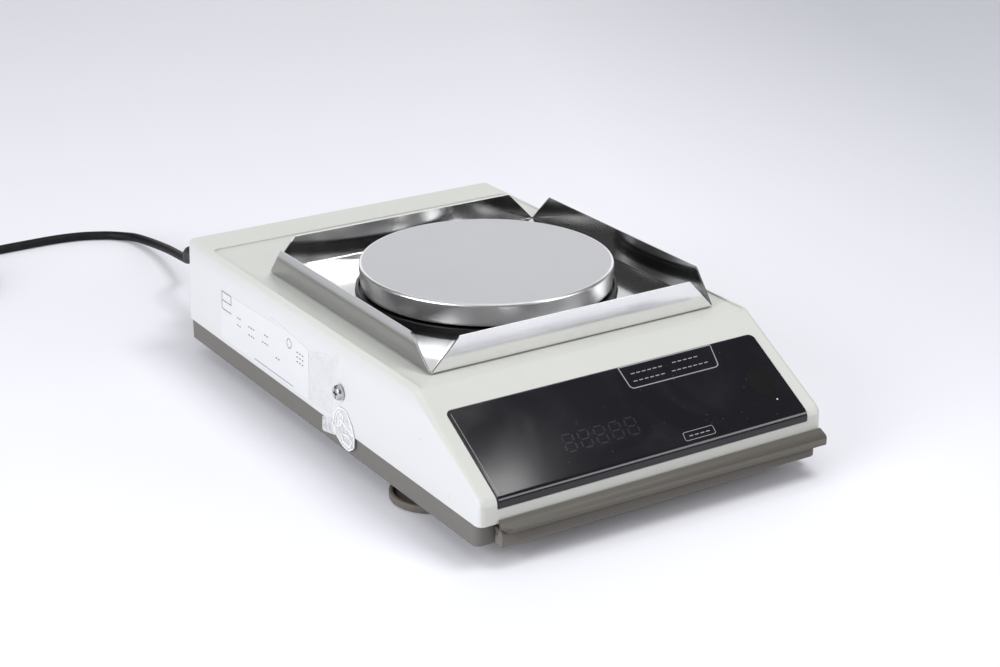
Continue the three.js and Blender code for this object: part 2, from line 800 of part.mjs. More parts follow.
const supportRadius = 45;
const supportPlate = 3;
const supportHub = 8;
const supportHubDrop = 7;
const panRingWall = 1.2;
const panRingDrop = 2;
const coneRadius = 5;
const coneTip = 3.6;
const coneRise = 4.5;
const underPan = panTop - panSheet;
const rimRadius = panRadius - panRimTaper;
const panProfile = [
  [0, underPan],
  [supportRadius + seat, underPan],
  [supportRadius + seat, underPan - panRingDrop],
  [supportRadius + seat + panRingWall, underPan - panRingDrop],
  [supportRadius + seat + panRingWall, underPan],
  [panRadius - panSheet - panEdgeRounding / 2, underPan],
  [panRadius - panSheet, underPan - panEdgeRounding / 2],
  [rimRadius - panSheet, panTop - panRim],
  [rimRadius, panTop - panRim],
  [panRadius, panTop - panEdgeRounding],
  [panRadius - 0.3 * panEdgeRounding, panTop - 0.3 * panEdgeRounding],
  [panRadius - panEdgeRounding, panTop],
  [0, panTop],
];
add('weighing_pan', turned(panProfile, 64).translate(0, panY, 0), polishedSteel);

const supportTop = underPan - seat;
const supportBottom = supportTop - supportPlate;
const hubBottom = supportBottom - supportHubDrop;
const spindleTop = supportTop - supportPlate;
const coneStart = spindleTop - coneRise;
const supportProfile = [
  [0, spindleTop + seat],
  [coneTip + seat, spindleTop + seat],
  [coneRadius + seat, coneStart],
  [coneRadius + seat, hubBottom],
  [supportHub, hubBottom],
  [supportHub, supportBottom],
  [supportRadius, supportBottom],
  [supportRadius, supportTop],
  [0, supportTop],
];
const lighteningCount = 6;
const lightening = [];
for (let index = 0; index < lighteningCount; index += 1) {
  const angle = (2 * index * Math.PI) / lighteningCount;
  const reach = (supportRadius + supportHub) / 2;
  lightening.push(post(reach * Math.cos(angle), reach * Math.sin(angle), 0, 2 * panTop, supportHub, 20));
}
const supportDisc = cut(solid(turned(supportProfile, 40)), ...lightening);
add('pan_support', supportDisc.translate([0, panY, 0]), castAluminium);

// Weighing cell: a hanger held by two parallel guides, and a lever that carries the force coil

const hangerHalf = 7;
const hangerDepth = 6;
const hangerFoot = 25;
const hangerTop = 56;
const guideSheet = 1.6;
const upperGuideZ = 50.2;
const lowerGuideZ = 27;
const guideWide = cellFrameHalf - blockAway;
const blockTop = 56;
const passHalf = 10;
const leverZ = 38;
const leverThick = 4;
const leverHalf = 5;
const fulcrumBehind = 19.7;
const fulcrumY = panY + fulcrumBehind;
const fulcrumHalf = 3;
const magnetFoot = 22.3;
const magnetTop = 34;
const poleRadius = 8;
const gapOuter = 13.4;
const gapFloor = 25;
const coilInner = 9.6;
const coilOuter = 11.8;
const coilFoot = 27;
const vaneHalf = 0.75;
const vaneY = sensorBack + cellEnds / 2;
const sensorSlot = 1.4;
const sensorHalf = 6;
const sensorTop = 47;

const hangerBack = panY + hangerDepth;
const spindle = [
  [0, hangerTop - overrun],
  [coneRadius, hangerTop - overrun],
  [coneRadius, coneStart - seat],
  [coneTip, spindleTop - seat],
  [0, spindleTop - seat],
];
add('pan_hanger', join(
  block(-hangerHalf, hangerHalf, panY - hangerDepth, hangerBack, hangerFoot, hangerTop),
  solid(turned(spindle, 32)).translate([0, panY, 0]),
), castAluminium);

function guide(z) {
  const front = hangerBack + seat;
  const back = blockFront - seat;
  const outline = roundedOutline([
    [-hangerHalf, front],
    [hangerHalf, front],
    [guideWide, back],
    [-guideWide, back],
  ]);
  const edge = hangerHalf;
  const opening = roundedOutline([
    [-hangerHalf / 2, front + edge, guideSheet],
    [hangerHalf / 2, front + edge, guideSheet],
    [guideWide - 2 * edge, back - edge, guideSheet],
    [2 * edge - guideWide, back - edge, guideSheet],
  ]);
  return cut(
    solid(standing(outline, z, z + guideSheet)),
    solid(standing(opening, z - overrun, z + guideSheet + overrun)),
  );
}

add('upper_guide', guide(upperGuideZ), plainSteel);
add('lower_guide', guide(lowerGuideZ), plainSteel);

function cellFrame() {
  const base = block(-cellFrameHalf, cellFrameHalf, cellFrameFront, cellFrameBack, cellBase, cellBase + cellPlate);
  const plateTop = cellBase + cellPlate;
  const upright = block(-cellFrameHalf, cellFrameHalf, blockFront, blockBack, plateTop - overrun, blockTop);
  const pass = block(-passHalf, passHalf, blockFront - overrun, blockBack + overrun, leverZ - leverThick, leverZ + 2.5 * leverThick);
  const fulcrum = block(-fulcrumHalf, fulcrumHalf, fulcrumY - fulcrumHalf, fulcrumY + fulcrumHalf, plateTop - overrun, leverZ - seat);
  const webFront = panY + 2 * hangerDepth;
  const pocket = roundedOutline([
    [-cellFrameHalf / 2, webFront + 4 * fulcrumHalf, guideSheet],
    [cellFrameHalf / 2, webFront + 4 * fulcrumHalf, guideSheet],
    [cellFrameHalf / 2, blockFront - fulcrumHalf, guideSheet],
    [-cellFrameHalf / 2, blockFront - fulcrumHalf, guideSheet],
  ]);
  return cut(join(base, upright, fulcrum), pass, solid(standing(pocket, cellBase - overrun, plateTop + overrun)));
}

add('cell_frame', cellFrame(), castAluminium);

const leverFront = hangerBack + seat;
const leverBack = magnetY + leverHalf;
add('lever_beam', join(
  block(-leverHalf, leverHalf, leverFront, leverBack, leverZ, leverZ + leverThick),
  post(0, magnetY, leverZ, leverZ + leverThick, coilOuter, 24),
  block(-vaneHalf, vaneHalf, leverBack - overrun, vaneY, leverZ, leverZ + leverThick),
), castAluminium);

function ring(inner, outer, z0, z1) {
  return [[inner, z0], [outer, z0], [outer, z1], [inner, z1], [inner, z0]];
}

add('force_coil', turned(ring(coilInner, coilOuter, coilFoot, leverZ - seat), 32).translate(0, magnetY, 0), copper);
const magnetProfile = [
  [0, magnetFoot],
  [magnetRadius, magnetFoot],
  [magnetRadius, magnetTop],
  [gapOuter, magnetTop],
  [gapOuter, gapFloor],
  [poleRadius, gapFloor],
  [poleRadius, magnetTop],
  [0, magnetTop],
];
add('magnet_pot', turned(magnetProfile, 40).translate(0, magnetY, 0), magnetSteel);
add('position_sensor', cut(
  block(-sensorHalf, sensorHalf, sensorFront, sensorBack, magnetFoot, sensorTop),
  block(-sensorSlot, sensorSlot, sensorFront - overrun, sensorBack + overrun, leverZ - leverThick, sensorTop + overrun),
), blackPlastic);

// Display board with its tube, hung behind the window

const displayInset = 8;
const displayHalf = windowHalf - displayInset;
const displayStart = 16;
const displayEnd = 56;
const displayTopN = -slopeWall - displayBoardGap;
const tubeInset = 30;
const tubeHalf = windowHalf - tubeInset;
const tubeStart = 26;
const tubeEnd = 46;
const tubeThick = 6;
add('display_board', slopeBlock(
  -displayHalf, displayHalf, displayStart, displayEnd, displayTopN - boardSheet, displayTopN,
), boardGreen);
add('display_tube', slopeBlock(
  -tubeHalf, tubeHalf, tubeStart, tubeEnd, displayTopN + seat, displayTopN + seat + tubeThick,
), tubeGlass);

// Main board and power supply

add('main_board', block(
  boardLeft, boardRight, boardFront, boardBack, boardHeight, boardHeight + boardSheet,
), boardGreen);

const boardTop = boardHeight + boardSheet + seat;
const sinkWidth = 28;
const sinkLength = 40;
const sinkInset = 8;
const sinkSetback = 20;
const sinkX = boardRight - sinkInset - sinkWidth;
const sinkY = boardBack - sinkSetback - sinkLength;
const sinkBase = 3;
const sinkRise = 24;
const finThick = 1.6;
const finPitch = 4.4;
const fins = [];
for (let x = sinkX; x <= sinkX + sinkWidth - finThick; x += finPitch) {
  fins.push(block(x, x + finThick, sinkY, sinkY + sinkLength, boardTop, boardTop + sinkRise));
}
const sinkPlate = block(sinkX, sinkX + sinkWidth, sinkY, sinkY + sinkLength, boardTop, boardTop + sinkBase);
add('heat_sink', join(sinkPlate, ...fins), castAluminium);

const capacitorRadius = 9;
const capacitorHeight = 30;
const capacitorEdge = 1;
const capacitorAway = 27;
const capacitorX = (boardLeft + boardRight) / 2;
const capacitorY = sinkY - capacitorAway - capacitorRadius;
const capacitorProfile = [
  [0, boardTop],
  [capacitorRadius, boardTop],
  [capacitorRadius, boardTop + capacitorHeight - capacitorEdge],
  [capacitorRadius - capacitorEdge, boardTop + capacitorHeight],
  [0, boardTop + capacitorHeight],
];
add('filter_capacitor', turned(capacitorProfile, 24).translate(capacitorX, capacitorY, 0), magnetSteel);

const coreHeight = 35;
const coreLimb = 7;
const coreFoot = floorTop + seat;
const windowSide = coreWidth / 2 - 2 * coreLimb;
function transformerCore() {
  const half = coreWidth / 2;
  const body = block(coreX - half, coreX + half, coreY - coreDepth / 2, coreY + coreDepth / 2, coreFoot, coreFoot + coreHeight);
  const windows = [-1, 1].map((side) => {
    const middle = coreX + side * (coreLimb + windowSide / 2);
    const front = coreY - coreDepth;
    const back = coreY + coreDepth;
    return block(middle - windowSide / 2, middle + windowSide / 2, front, back, coreFoot + coreLimb, coreFoot + coreHeight - coreLimb);
  });
  return cut(body, ...windows);
}
add('transformer_core', transformerCore(), magnetSteel);

const windingOut = 6;
const windingHalfX = coreLimb + windowSide - seat;
const windingHalfY = coreDepth / 2 + windingOut;
const windingZ = [coreFoot + coreLimb + seat, coreFoot + coreHeight - coreLimb - seat];
const windingOuter = rectangle(
  coreX - windingHalfX, coreX + windingHalfX, coreY - windingHalfY, coreY + windingHalfY, windingOut / 2,
);
const limbHalf = coreLimb + seat;
add('transformer_winding', cut(
  solid(standing(windingOuter, ...windingZ)),
  block(coreX - limbHalf, coreX + limbHalf, coreY - coreDepth / 2 - seat, coreY + coreDepth / 2 + seat, 0, housingTop),
), copper);

// Rear panel with the mains inlet and the fuse carrier

const inletZ = 34.5;
const inletWidth = 28;
const inletHeight = 20;
const inletCorner = 4;
const inletDepth = 22;
const inletWall = 2;
const inletFlange = 1.6;
const inletFlangeEdge = 3;
const inletAway = 2;
const inletX = inletAway + inletFlangeEdge + inletWidth / 2 - rearOpeningHalf;
const fuseX = (inletX + inletWidth / 2 + inletFlangeEdge - magnetRadius) / 2;
const fuseRadius = 6;
const fuseCap = 7.5;
const fuseCapDepth = 3;
const fuseDepth = 26;

function centredOutline(x, z, width, height, corner, grow) {
  const halfX = width / 2 + grow;
  const halfZ = height / 2 + grow;
  return rectangle(x - halfX, x + halfX, z - halfZ, z + halfZ, corner);
}

const inletOutline = (grow) => centredOutline(inletX, inletZ, inletWidth, inletHeight, inletCorner, grow);
add('rear_panel', cut(
  block(-rearPanelHalf, rearPanelHalf, rearPanelFront, rearPanelBack, floorTop + seat, rearPanelTop),
  solid(lengthwise(inletOutline(seat), rearPanelFront - overrun, rearPanelBack + overrun)),
  rodLengthwise(fuseX, rearPanelFront - overrun, rearPanelBack + overrun, inletZ, holeRadius(fuseRadius, seat, 24), 24),
), plainSteel);

const flangeFront = rearPanelBack + seat;
add('mains_inlet', cut(
  join(
    solid(lengthwise(inletOutline(0), rearPanelBack - inletDepth, flangeFront + inletFlange)),
    solid(lengthwise(inletOutline(inletFlangeEdge), flangeFront, flangeFront + inletFlange)),
  ),
  solid(lengthwise(inletOutline(-inletWall), rearPanelBack - inletDepth + 2 * inletWall, backY + overrun)),
), blackPlastic);

add('fuse_carrier', join(
  rodLengthwise(fuseX, rearPanelBack - fuseDepth, flangeFront + overrun, inletZ, fuseRadius, 24),
  rodLengthwise(fuseX, flangeFront, flangeFront + fuseCapDepth, inletZ, fuseCap, 24),
), blackPlastic);

// Mains lead: connector, free stretch, coil of the unseen length and plug

const connectorNose = 14;
const connectorBody = 30;
const connectorTaper = 28;
const connectorGrow = 0.6;
const reliefStart = 5.2;
const reliefEnd = 3.4;
const leadStartY = flangeFront + inletFlange + seat + connectorBody + connectorTaper;

function connector() {
  const faceY = flangeFront + inletFlange + seat;
  const endY = faceY + connectorBody;
  const nose = solid(lengthwise(inletOutline(-inletWall - seat), faceY - connectorNose, faceY + overrun));
  const body = solid(lengthwise(inletOutline(connectorGrow), faceY, endY));
  const relief = new THREE.CylinderGeometry(reliefEnd, reliefStart, connectorTaper + overrun, 16);
  relief.translate(inletX, endY - overrun + (connectorTaper + overrun) / 2, inletZ);
  return join(nose, body, solid(relief));
}

add('lead_connector', connector(), leadBlack);

// The free stretch from the connector to the coil: to the right of the inlet, behind the
// strain relief and above the bench.
const leadRoute = [
  [0, 0.6, 34.5],
  [0, 7.5, 33.6],
  [0.8, 15, 30.9],
  [3, 23, 26.6],
  [6.2, 31, 21.6],
  [9.6, 37.8, 17],
  [12, 52.2, 14],
  [14.8, 77.5, 10.2],
  [15.7, 97.5, 7.3],
  [15.1, 115.3, 5.1],
  [12.8, 129.3, 3.7],
  [7.8, 138, 2.95],
  [2, 144, 2.75],
  [-4, 147.6, 2.72],
  [-11, 151, 2.72],
  [-19, 153.4, 2.72],
  [-26, 154.6, 2.72],
  [-34, 155.3, 2.72],
  [-50, 155.4, 2.72],
  [-66, 155.2, 2.72],
  [-90, 154.8, 2.72],
  [-115, 154.6, 2.72],
];

const layerRise = 2 * leadRadius + leadGap;
const turnsInLayer = leadCoilTurns / 2;
const coilOutside = leadCoilRadius + (turnsInLayer * layerRise) / 2;
const coilCentreX = inletX - coilAside;
const coilCentreY = leadStartY + coilBehind;
const benchGap = 0.02;
const floorCentre = leadRadius + benchGap;

// Place on the coil, from 0 where the lead comes in to 1 where it goes out to the plug.
function coilPlace(share) {
  const turn = share * leadCoilTurns;
  const fromReversal = Math.abs(turn - turnsInLayer);
  const radius = coilOutside - (turnsInLayer - fromReversal) * layerRise;
  const angle = Math.PI / 2 + 2 * Math.PI * turn;
  const climb = THREE.MathUtils.smoothstep(turn, turnsInLayer - 0.25, turnsInLayer + 0.25);
  return new THREE.Vector3(
    coilCentreX + radius * Math.cos(angle),
    coilCentreY + radius * Math.sin(angle),
    floorCentre + climb * layerRise,
  );
}

const stepsPerTurn = 24;
const coilSteps = Math.round(leadCoilTurns * stepsPerTurn);
const coilPoints = [];
for (let i = 0; i <= coilSteps; i += 1) coilPoints.push(coilPlace(i / coilSteps));

function tube(points, steps, radius, sides) {
  const section = new THREE.Shape();
  for (let i = 0; i < sides; i += 1) {
    const angle = ((i + 0.5) * 2 * Math.PI) / sides;
    const corner = vec(radius * Math.cos(angle), radius * Math.sin(angle));
    if (i === 0) section.moveTo(corner.x, corner.y);
    else section.lineTo(corner.x, corner.y);
  }
  section.closePath();
  const path = new THREE.CatmullRomCurve3(points, false, 'centripetal');
  return new THREE.ExtrudeGeometry(section, { steps, extrudePath: path, bevelEnabled: false });
}

const leadDiameter = 2 * leadRadius;
const coilEntry = coilPoints[0];
const coilExit = coilPoints[coilPoints.length - 1];
const leadEnd = new THREE.Vector3(coilEntry.x + leadDiameter + seat, coilEntry.y, coilEntry.z);
const freeLead = leadRoute.map(([aside, behind, height]) => (
  new THREE.Vector3(inletX + aside, leadStartY + behind, height)
));
add('mains_lead', tube([...freeLead, leadEnd], 64, leadRadius, 10), leadBlack);

const straightIn = new THREE.Vector3(coilEntry.x + leadDiameter, coilEntry.y, coilEntry.z);
const straightOut = new THREE.Vector3(coilExit.x, coilExit.y - leadDiameter, coilExit.z);
add('lead_coil', tube([straightIn, ...coilPoints, straightOut], coilSteps + 2, leadRadius, 6), leadBlack);

const plugLength = 38;
const plugWidth = 34;
const plugThick = 16.6;
const plugWaist = 12;
const plugCorner = 5;
const plugRelief = 20;
const plugPinRadius = 2;
const plugPinLength = 19;
const plugPinSpread = 9.5;
const plugPinOffset = 5;

function plug() {
  const backY0 = straightOut.y - seat;
  const bodyBack = backY0 - plugRelief;
  const bodyFront = bodyBack - plugLength;
  const x = straightOut.x;
  const z = straightOut.z;
  const plan = roundedOutline([
    [x - plugWidth / 2, bodyFront, plugCorner],
    [x + plugWidth / 2, bodyFront, plugCorner],
    [x + plugWidth / 2, bodyFront + plugLength / 2, plugCorner],
    [x + plugWaist / 2, bodyBack, plugCorner],
    [x - plugWaist / 2, bodyBack, plugCorner],
    [x - plugWidth / 2, bodyFront + plugLength / 2, plugCorner],
  ]);
  const body = solid(standing(plan, 0, plugThick));
  const relief = new THREE.CylinderGeometry(reliefEnd, reliefStart, plugRelief + overrun, 16);
  relief.translate(x, bodyBack - overrun + (plugRelief + overrun) / 2, z);
  const pins = [-1, 0, 1].map((side) => rodLengthwise(
    x + side * plugPinSpread, bodyFront - plugPinLength, bodyFront + overrun,
    z + (side === 0 ? plugPinOffset : 0), plugPinRadius,
  ));
  return join(body, solid(relief), ...pins);
}

add('lead_plug', plug(), leadBlack);

// Least gap between stretches of the coil that are more than a quarter turn apart

function leastCoilGap() {
  const apart = Math.round(stepsPerTurn / 4);
  let least = Infinity;
  for (let i = 0; i < coilPoints.length; i += 1) {
    for (let j = i + apart; j < coilPoints.length; j += 1) {
      least = Math.min(least, coilPoints[i].distanceTo(coilPoints[j]));
    }
  }
  return least - leadDiameter;
}

console.log(`least gap of the coil to itself: ${leastCoilGap().toFixed(3)} mm`);

export default model;
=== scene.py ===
import math

import bmesh
import bpy
from bpy.props import FloatProperty, FloatVectorProperty, IntProperty, PointerProperty
from mathutils import Matrix, Vector


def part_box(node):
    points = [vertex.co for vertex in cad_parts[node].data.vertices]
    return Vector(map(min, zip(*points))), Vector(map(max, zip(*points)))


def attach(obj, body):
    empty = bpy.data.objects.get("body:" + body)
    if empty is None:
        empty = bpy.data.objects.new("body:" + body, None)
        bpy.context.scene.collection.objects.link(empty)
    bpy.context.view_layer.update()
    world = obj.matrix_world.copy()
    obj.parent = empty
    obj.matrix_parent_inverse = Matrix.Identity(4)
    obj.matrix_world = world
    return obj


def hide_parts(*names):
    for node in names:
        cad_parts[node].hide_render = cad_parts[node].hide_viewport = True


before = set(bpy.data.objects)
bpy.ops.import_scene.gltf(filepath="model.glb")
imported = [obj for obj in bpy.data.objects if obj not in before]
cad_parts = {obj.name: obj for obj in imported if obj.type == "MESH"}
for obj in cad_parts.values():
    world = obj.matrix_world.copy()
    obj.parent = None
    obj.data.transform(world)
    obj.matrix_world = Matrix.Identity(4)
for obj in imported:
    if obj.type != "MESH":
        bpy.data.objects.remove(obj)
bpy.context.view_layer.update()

bl_info = {
    "name": "Precision Balance",
    "version": (1, 0, 0),
    "blender": (4, 5, 0),
    "location": "View3D > Sidebar > Balance",
    "description": "Dresses the packed model of a precision balance with its visible pieces "
                   "and finishes",
    "category": "Add Mesh",
}

# Shapes are made in millimetres and brought to metres when a piece is finished.
MM = 0.001


def corners(node):
    """The lowest and highest corner of a CAD node, in millimetres."""
    low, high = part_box(node)
    return low / MM, high / MM


def middle(node):
    """The centre of a CAD node: its x, y and z in millimetres."""
    return [(low + high) / 2 for low, high in zip(*corners(node))]


# Housing, named as in the CAD source

SHELL_LOW, SHELL_HIGH = corners("upper_shell")
HOUSING_TOP = SHELL_HIGH.z
SHELL_EDGE = 20.3
NOSE_Y, BACK_Y = SHELL_LOW.y, SHELL_HIGH.y
DRAFT = 0.037
# Measured again on the photograph: a little shallower than the CAD's slope.
SLOPE_RUN, SLOPE_DROP = 58.7, 34.1
TOP_HALF = SHELL_HIGH.x - DRAFT * (HOUSING_TOP - SHELL_EDGE)
FOLD_Y = NOSE_Y + SLOPE_RUN
NOSE_TOP = HOUSING_TOP - SLOPE_DROP
SLOPE_ANGLE = math.atan2(SLOPE_DROP, SLOPE_RUN)
SLOPE_LENGTH = math.hypot(SLOPE_RUN, SLOPE_DROP)
SHELL_WALL, SLOPE_WALL, NOSE_WALL = 2.5, 4.6, 3.6
CORNER = 3.5
TOP_LIP = 3
PANEL_DROP = 0.8
REAR_BAND = 25.2
SEAT = 0.3
OVERRUN = 1
WINDOW_HALF = TOP_HALF - 8.15
WINDOW_START, WINDOW_BAND = 16.7, 4.4
WINDOW_SHEET, WINDOW_PROUD = 2, 0.3
WINDOW_CORNER, WINDOW_BEND = 3, 2.4
PAN_LOW, PAN_HIGH = corners("weighing_pan")
PAN_Y = middle("weighing_pan")[1]
SCREW_HIGH = corners("side_screw_right")[1]
_, SCREW_Y, SCREW_Z = middle("side_screw_right")


# Closed outlines and solids


def rounded(points, steps=6):
    """A closed outline through corners (a, b, rounding), each rounded by a true arc."""
    outline = []
    for index, point in enumerate(points):
        here = Vector(point[:2])
        reach = point[2] if len(point) > 2 else 0
        if not reach:
            outline.append(here)
            continue
        back = (Vector(points[index - 1][:2]) - here).normalized()
        onward = (Vector(points[(index + 1) % len(points)][:2]) - here).normalized()
        half = back.angle(onward) / 2
        centre = here + (back + onward).normalized() * reach / math.cos(half)
        first = here + back * reach - centre
        last = here + onward * reach - centre
        sweep = math.pi - 2 * half
        for step in range(steps + 1):
            share = step / steps
            turn = first * math.sin((1 - share) * sweep) + last * math.sin(share * sweep)
            outline.append(centre + turn / math.sin(sweep))
    return outline


def rectangle(a0, a1, b0, b1, rounding=0, steps=6):
    return rounded([(a, b, rounding) for a, b in ((a0, b0), (a1, b0), (a1, b1), (a0, b1))], steps)


def centred(a, b, half_a, half_b, rounding=0, steps=6):
    """A rectangle round the point (a, b)."""
    return rectangle(a - half_a, a + half_a, b - half_b, b + half_b, rounding, steps)


def circle(a, b, radius, sides=48):
    turns = (2 * math.pi * side / sides for side in range(sides))
    return [Vector((a + radius * math.cos(turn), b + radius * math.sin(turn))) for turn in turns]


def mesh_of(form):
    """The mesh of a bmesh, which is freed."""
    mesh = bpy.data.meshes.new("form")
    form.to_mesh(mesh)
    form.free()
    return mesh


def closed(form):
    """The mesh of a bmesh, welded and with its faces turned outwards."""
    bmesh.ops.remove_doubles(form, verts=form.verts, dist=0.0005)
    bmesh.ops.recalc_face_normals(form, faces=form.faces)
    return mesh_of(form)


AXES = {"x": (2, 0, 1), "y": (0, 2, 1), "z": (0, 1, 2)}


def loop(form, outline, level, axis="z"):
    """Vertices round an outline: (y, z) for the x axis, (x, z) for y and (x, y) for z."""
    return [form.verts.new([(*point, level)[part] for part in AXES[axis]]) for point in outline]


def bridge(form, one, two):
    """Faces from one loop of vertices to the next."""
    for index in range(len(one)):
        form.faces.new((one[index], one[index - 1], two[index - 1], two[index]))


def prism(outline, low, high, axis="z"):
    """An outline pushed along an axis."""
    form = bmesh.new()
    ends = [loop(form, outline, level, axis) for level in (low, high)]
    for end in ends:
        form.faces.new(end)
    bridge(form, *ends)
    return closed(form)


def band(outer, inner, low, high):
    """A closed band between two outlines with equal numbers of points."""
    form = bmesh.new()
    levels = ((outer, low), (outer, high), (inner, high), (inner, low))
    loops = [loop(form, outline, level) for outline, level in levels]
    for index in range(4):
        bridge(form, loops[index - 1], loops[index])
    return closed(form)


def block(x0, x1, y0, y1, z0, z1):
    return prism(rectangle(x0, x1, y0, y1), z0, z1)


def rod(a, b, radius, low, high, axis="z", sides=32):
    return prism(circle(a, b, radius, sides), low, high, axis)


def turned(profile, sides=96, centre=(0, 0)):
    """A turned form on an upright axis, from a closed profile of (radius, height)."""
    form = bmesh.new()
    rings = []
    for radius, height in profile:
        if radius < 0.001:
            rings.append([form.verts.new((*centre, height))] * sides)
        else:
            rings.append(loop(form, circle(*centre, radius, sides), height))
    for index, two in enumerate(rings):
        one = rings[index - 1]
        for side in range(sides):
            around = dict.fromkeys((one[side], one[side - 1], two[side - 1], two[side]))
            if len(around) > 2:
                form.faces.new(list(around))
    return closed(form)


def shaped(points, low, high, steps=4):
    """A flat form with rounded corners (a, b, rounding)."""
    return prism(rounded(points, steps), low, high)


def moved(mesh, matrix):
    mesh.transform(matrix)
    return mesh


def gathered(*meshes):
    """Several forms as one mesh."""
    form = bmesh.new()
    for mesh in meshes:
        form.from_mesh(mesh)
        bpy.data.meshes.remove(mesh)
    return mesh_of(form)


def linked(name, data):
    """A new object in the scene."""
    made = bpy.data.objects.new(name, data)
    bpy.context.scene.collection.objects.link(made)
    return made


def evaluated(mesh, kind, **settings):
    """A mesh after a modifier of this kind."""
    holder = linked("form", mesh)
    modifier = holder.modifiers.new(kind, kind)
    for setting, value in settings.items():
        if setting.startswith("Socket_"):
            modifier[setting] = value
        else:
            setattr(modifier, setting, value)
    graph = bpy.context.evaluated_depsgraph_get()
    result = bpy.data.meshes.new_from_object(holder.evaluated_get(graph), depsgraph=graph)
    bpy.data.objects.remove(holder)
    return result


def carved(base, *tools, operation="DIFFERENCE"):
    """A form with others taken from it, joined to it or kept where they cross it."""
    for tool in tools:
        other = linked("tool", tool)
        base = evaluated(base, "BOOLEAN", operation=operation, object=other, solver="EXACT")
        bpy.data.objects.remove(other)
    return base


def joined(base, *others):
    return carved(base, *others, operation="UNION")


def softened(mesh, width=0, segments=2, angle=32, smooth=38):
    """A mesh with its edges rounded and shaded so that flat faces stay flat."""
    if width:
        mesh = evaluated(
            mesh, "BEVEL", width=width, segments=segments, limit_method="ANGLE",
            angle_limit=math.radians(angle), use_clamp_overlap=True,
        )
    mesh.polygons.foreach_set("use_smooth", [True] * len(mesh.polygons))
    mesh.set_sharp_from_angle(angle=math.radians(smooth))
    return evaluated(mesh, "WEIGHTED_NORMAL", keep_sharp=True, weight=80)


# Finishes by name, and the record's slot of each that isn't named after its slot
FINISHES = {}
SLOTS = {
    "lead_moulding": "lead_black",
    **dict.fromkeys(("stainless_pan", "stainless_brushed", "stainless_screw"), "stainless"),
    **dict.fromkeys(("window_print", "unlit_segment", "matt_disc"), "window_black"),
    **dict.fromkeys(
        ("label_white", "label_ink", "clear_film", "seal_film", "seal_crease"), "shell_cream",
    ),
}


def piece(name, mesh, finish, *replaces, body="housing", slot=None, soft=()):
    """A finished piece: softened, brought to metres, on its body and in place of CAD nodes."""
    mesh = softened(mesh, *soft)
    mesh.transform(Matrix.Scale(MM, 4))
    mesh.name = name
    mesh.materials.clear()
    names = finish if isinstance(finish, tuple) else (finish,)
    for each in names:
        mesh.materials.append(FINISHES[each])
    made = linked(name, mesh)
    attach(made, body)
    if replaces:
        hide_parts(*replaces)


def welded_copy(node):
    """A copy of a CAD node's mesh in millimetres, welded, with its flat faces whole."""
    form = bmesh.new()
    form.from_mesh(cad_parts[node].data)
    bmesh.ops.scale(form, vec=(1 / MM,) * 3, verts=form.verts)
    bmesh.ops.remove_doubles(form, verts=form.verts, dist=0.001)
    bmesh.ops.dissolve_limit(
        form, angle_limit=math.radians(0.6), verts=form.verts, edges=form.edges,
        use_dissolve_boundaries=False,
    )
    return mesh_of(form)


# The slope's own frame: s runs down the slope from the fold, n stands out of it


def on_slope(s, n):
    y = FOLD_Y - s * math.cos(SLOPE_ANGLE) - n * math.sin(SLOPE_ANGLE)
    z = HOUSING_TOP - s * math.sin(SLOPE_ANGLE) + n * math.cos(SLOPE_ANGLE)
    return y, z


SLOPE_PLACE = Matrix.Translation((0, FOLD_Y, HOUSING_TOP)) @ Matrix.Rotation(SLOPE_ANGLE, 4, "X")


def slope_height_at(y, n):
    start_y, start_z = on_slope(0, n)
    return start_z - (start_y - y) * math.tan(SLOPE_ANGLE)


def slope_place_at(z, n):
    start_y, start_z = on_slope(0, n)
    return start_y - (start_z - z) / math.tan(SLOPE_ANGLE)


def side_plane(side):
    """Places (y, z, out) on the leaning side of the shell: -1 is the left one."""
    return Matrix((
        (0, -side * DRAFT, side, side * (TOP_HALF + DRAFT * HOUSING_TOP)),
        (1, 0, 0, 0),
        (0, 1, 0, 0),
        (0, 0, 0, 1),
    ))


# Repeats by Geometry Nodes


def copies_tree(name, in_ring):
    """A node tree that repeats the form it is given, in a row or in a ring about the origin."""
    tree = bpy.data.node_groups.new(name, "GeometryNodeTree")
    sockets = {}
    for label, kind in (
        ("Geometry", "Geometry"), ("Count", "Int"), ("Step", "Vector"), ("Place", "Vector"),
        ("Finish", "Material"),
    ):
        socket = tree.interface.new_socket(label, in_out="INPUT", socket_type=f"NodeSocket{kind}")
        sockets[label] = socket.identifier
    tree.interface.new_socket("Geometry", in_out="OUTPUT", socket_type="NodeSocketGeometry")
    given = tree.nodes.new("NodeGroupInput").outputs

    def add(kind, **wires):
        made = tree.nodes.new(kind)
        for label, wire in wires.items():
            tree.links.new(wire, made.inputs[label])
        return made

    line = add("GeometryNodeMeshLine", Count=given["Count"])
    line.mode = "OFFSET"
    put = add("GeometryNodeInstanceOnPoints", Points=line.outputs[0], Instance=given["Geometry"])
    if in_ring:
        line.inputs["Offset"].default_value = (0, 0, 0)
        index = add("GeometryNodeInputIndex").outputs[0]
        turn = add("ShaderNodeVectorMath", Vector=given["Step"])
        turn.operation = "SCALE"
        tree.links.new(index, turn.inputs["Scale"])
        tree.links.new(turn.outputs[0], put.inputs["Rotation"])
    else:
        tree.links.new(given["Step"], line.inputs["Offset"])
    place = add("GeometryNodeTransform", Geometry=put.outputs[0], Translation=given["Place"])
    whole = add("GeometryNodeRealizeInstances", Geometry=place.outputs[0])
    finish = add("GeometryNodeSetMaterial", Geometry=whole.outputs[0], Material=given["Finish"])
    add("NodeGroupOutput", Geometry=finish.outputs[0])
    return tree, sockets


TREES = {}


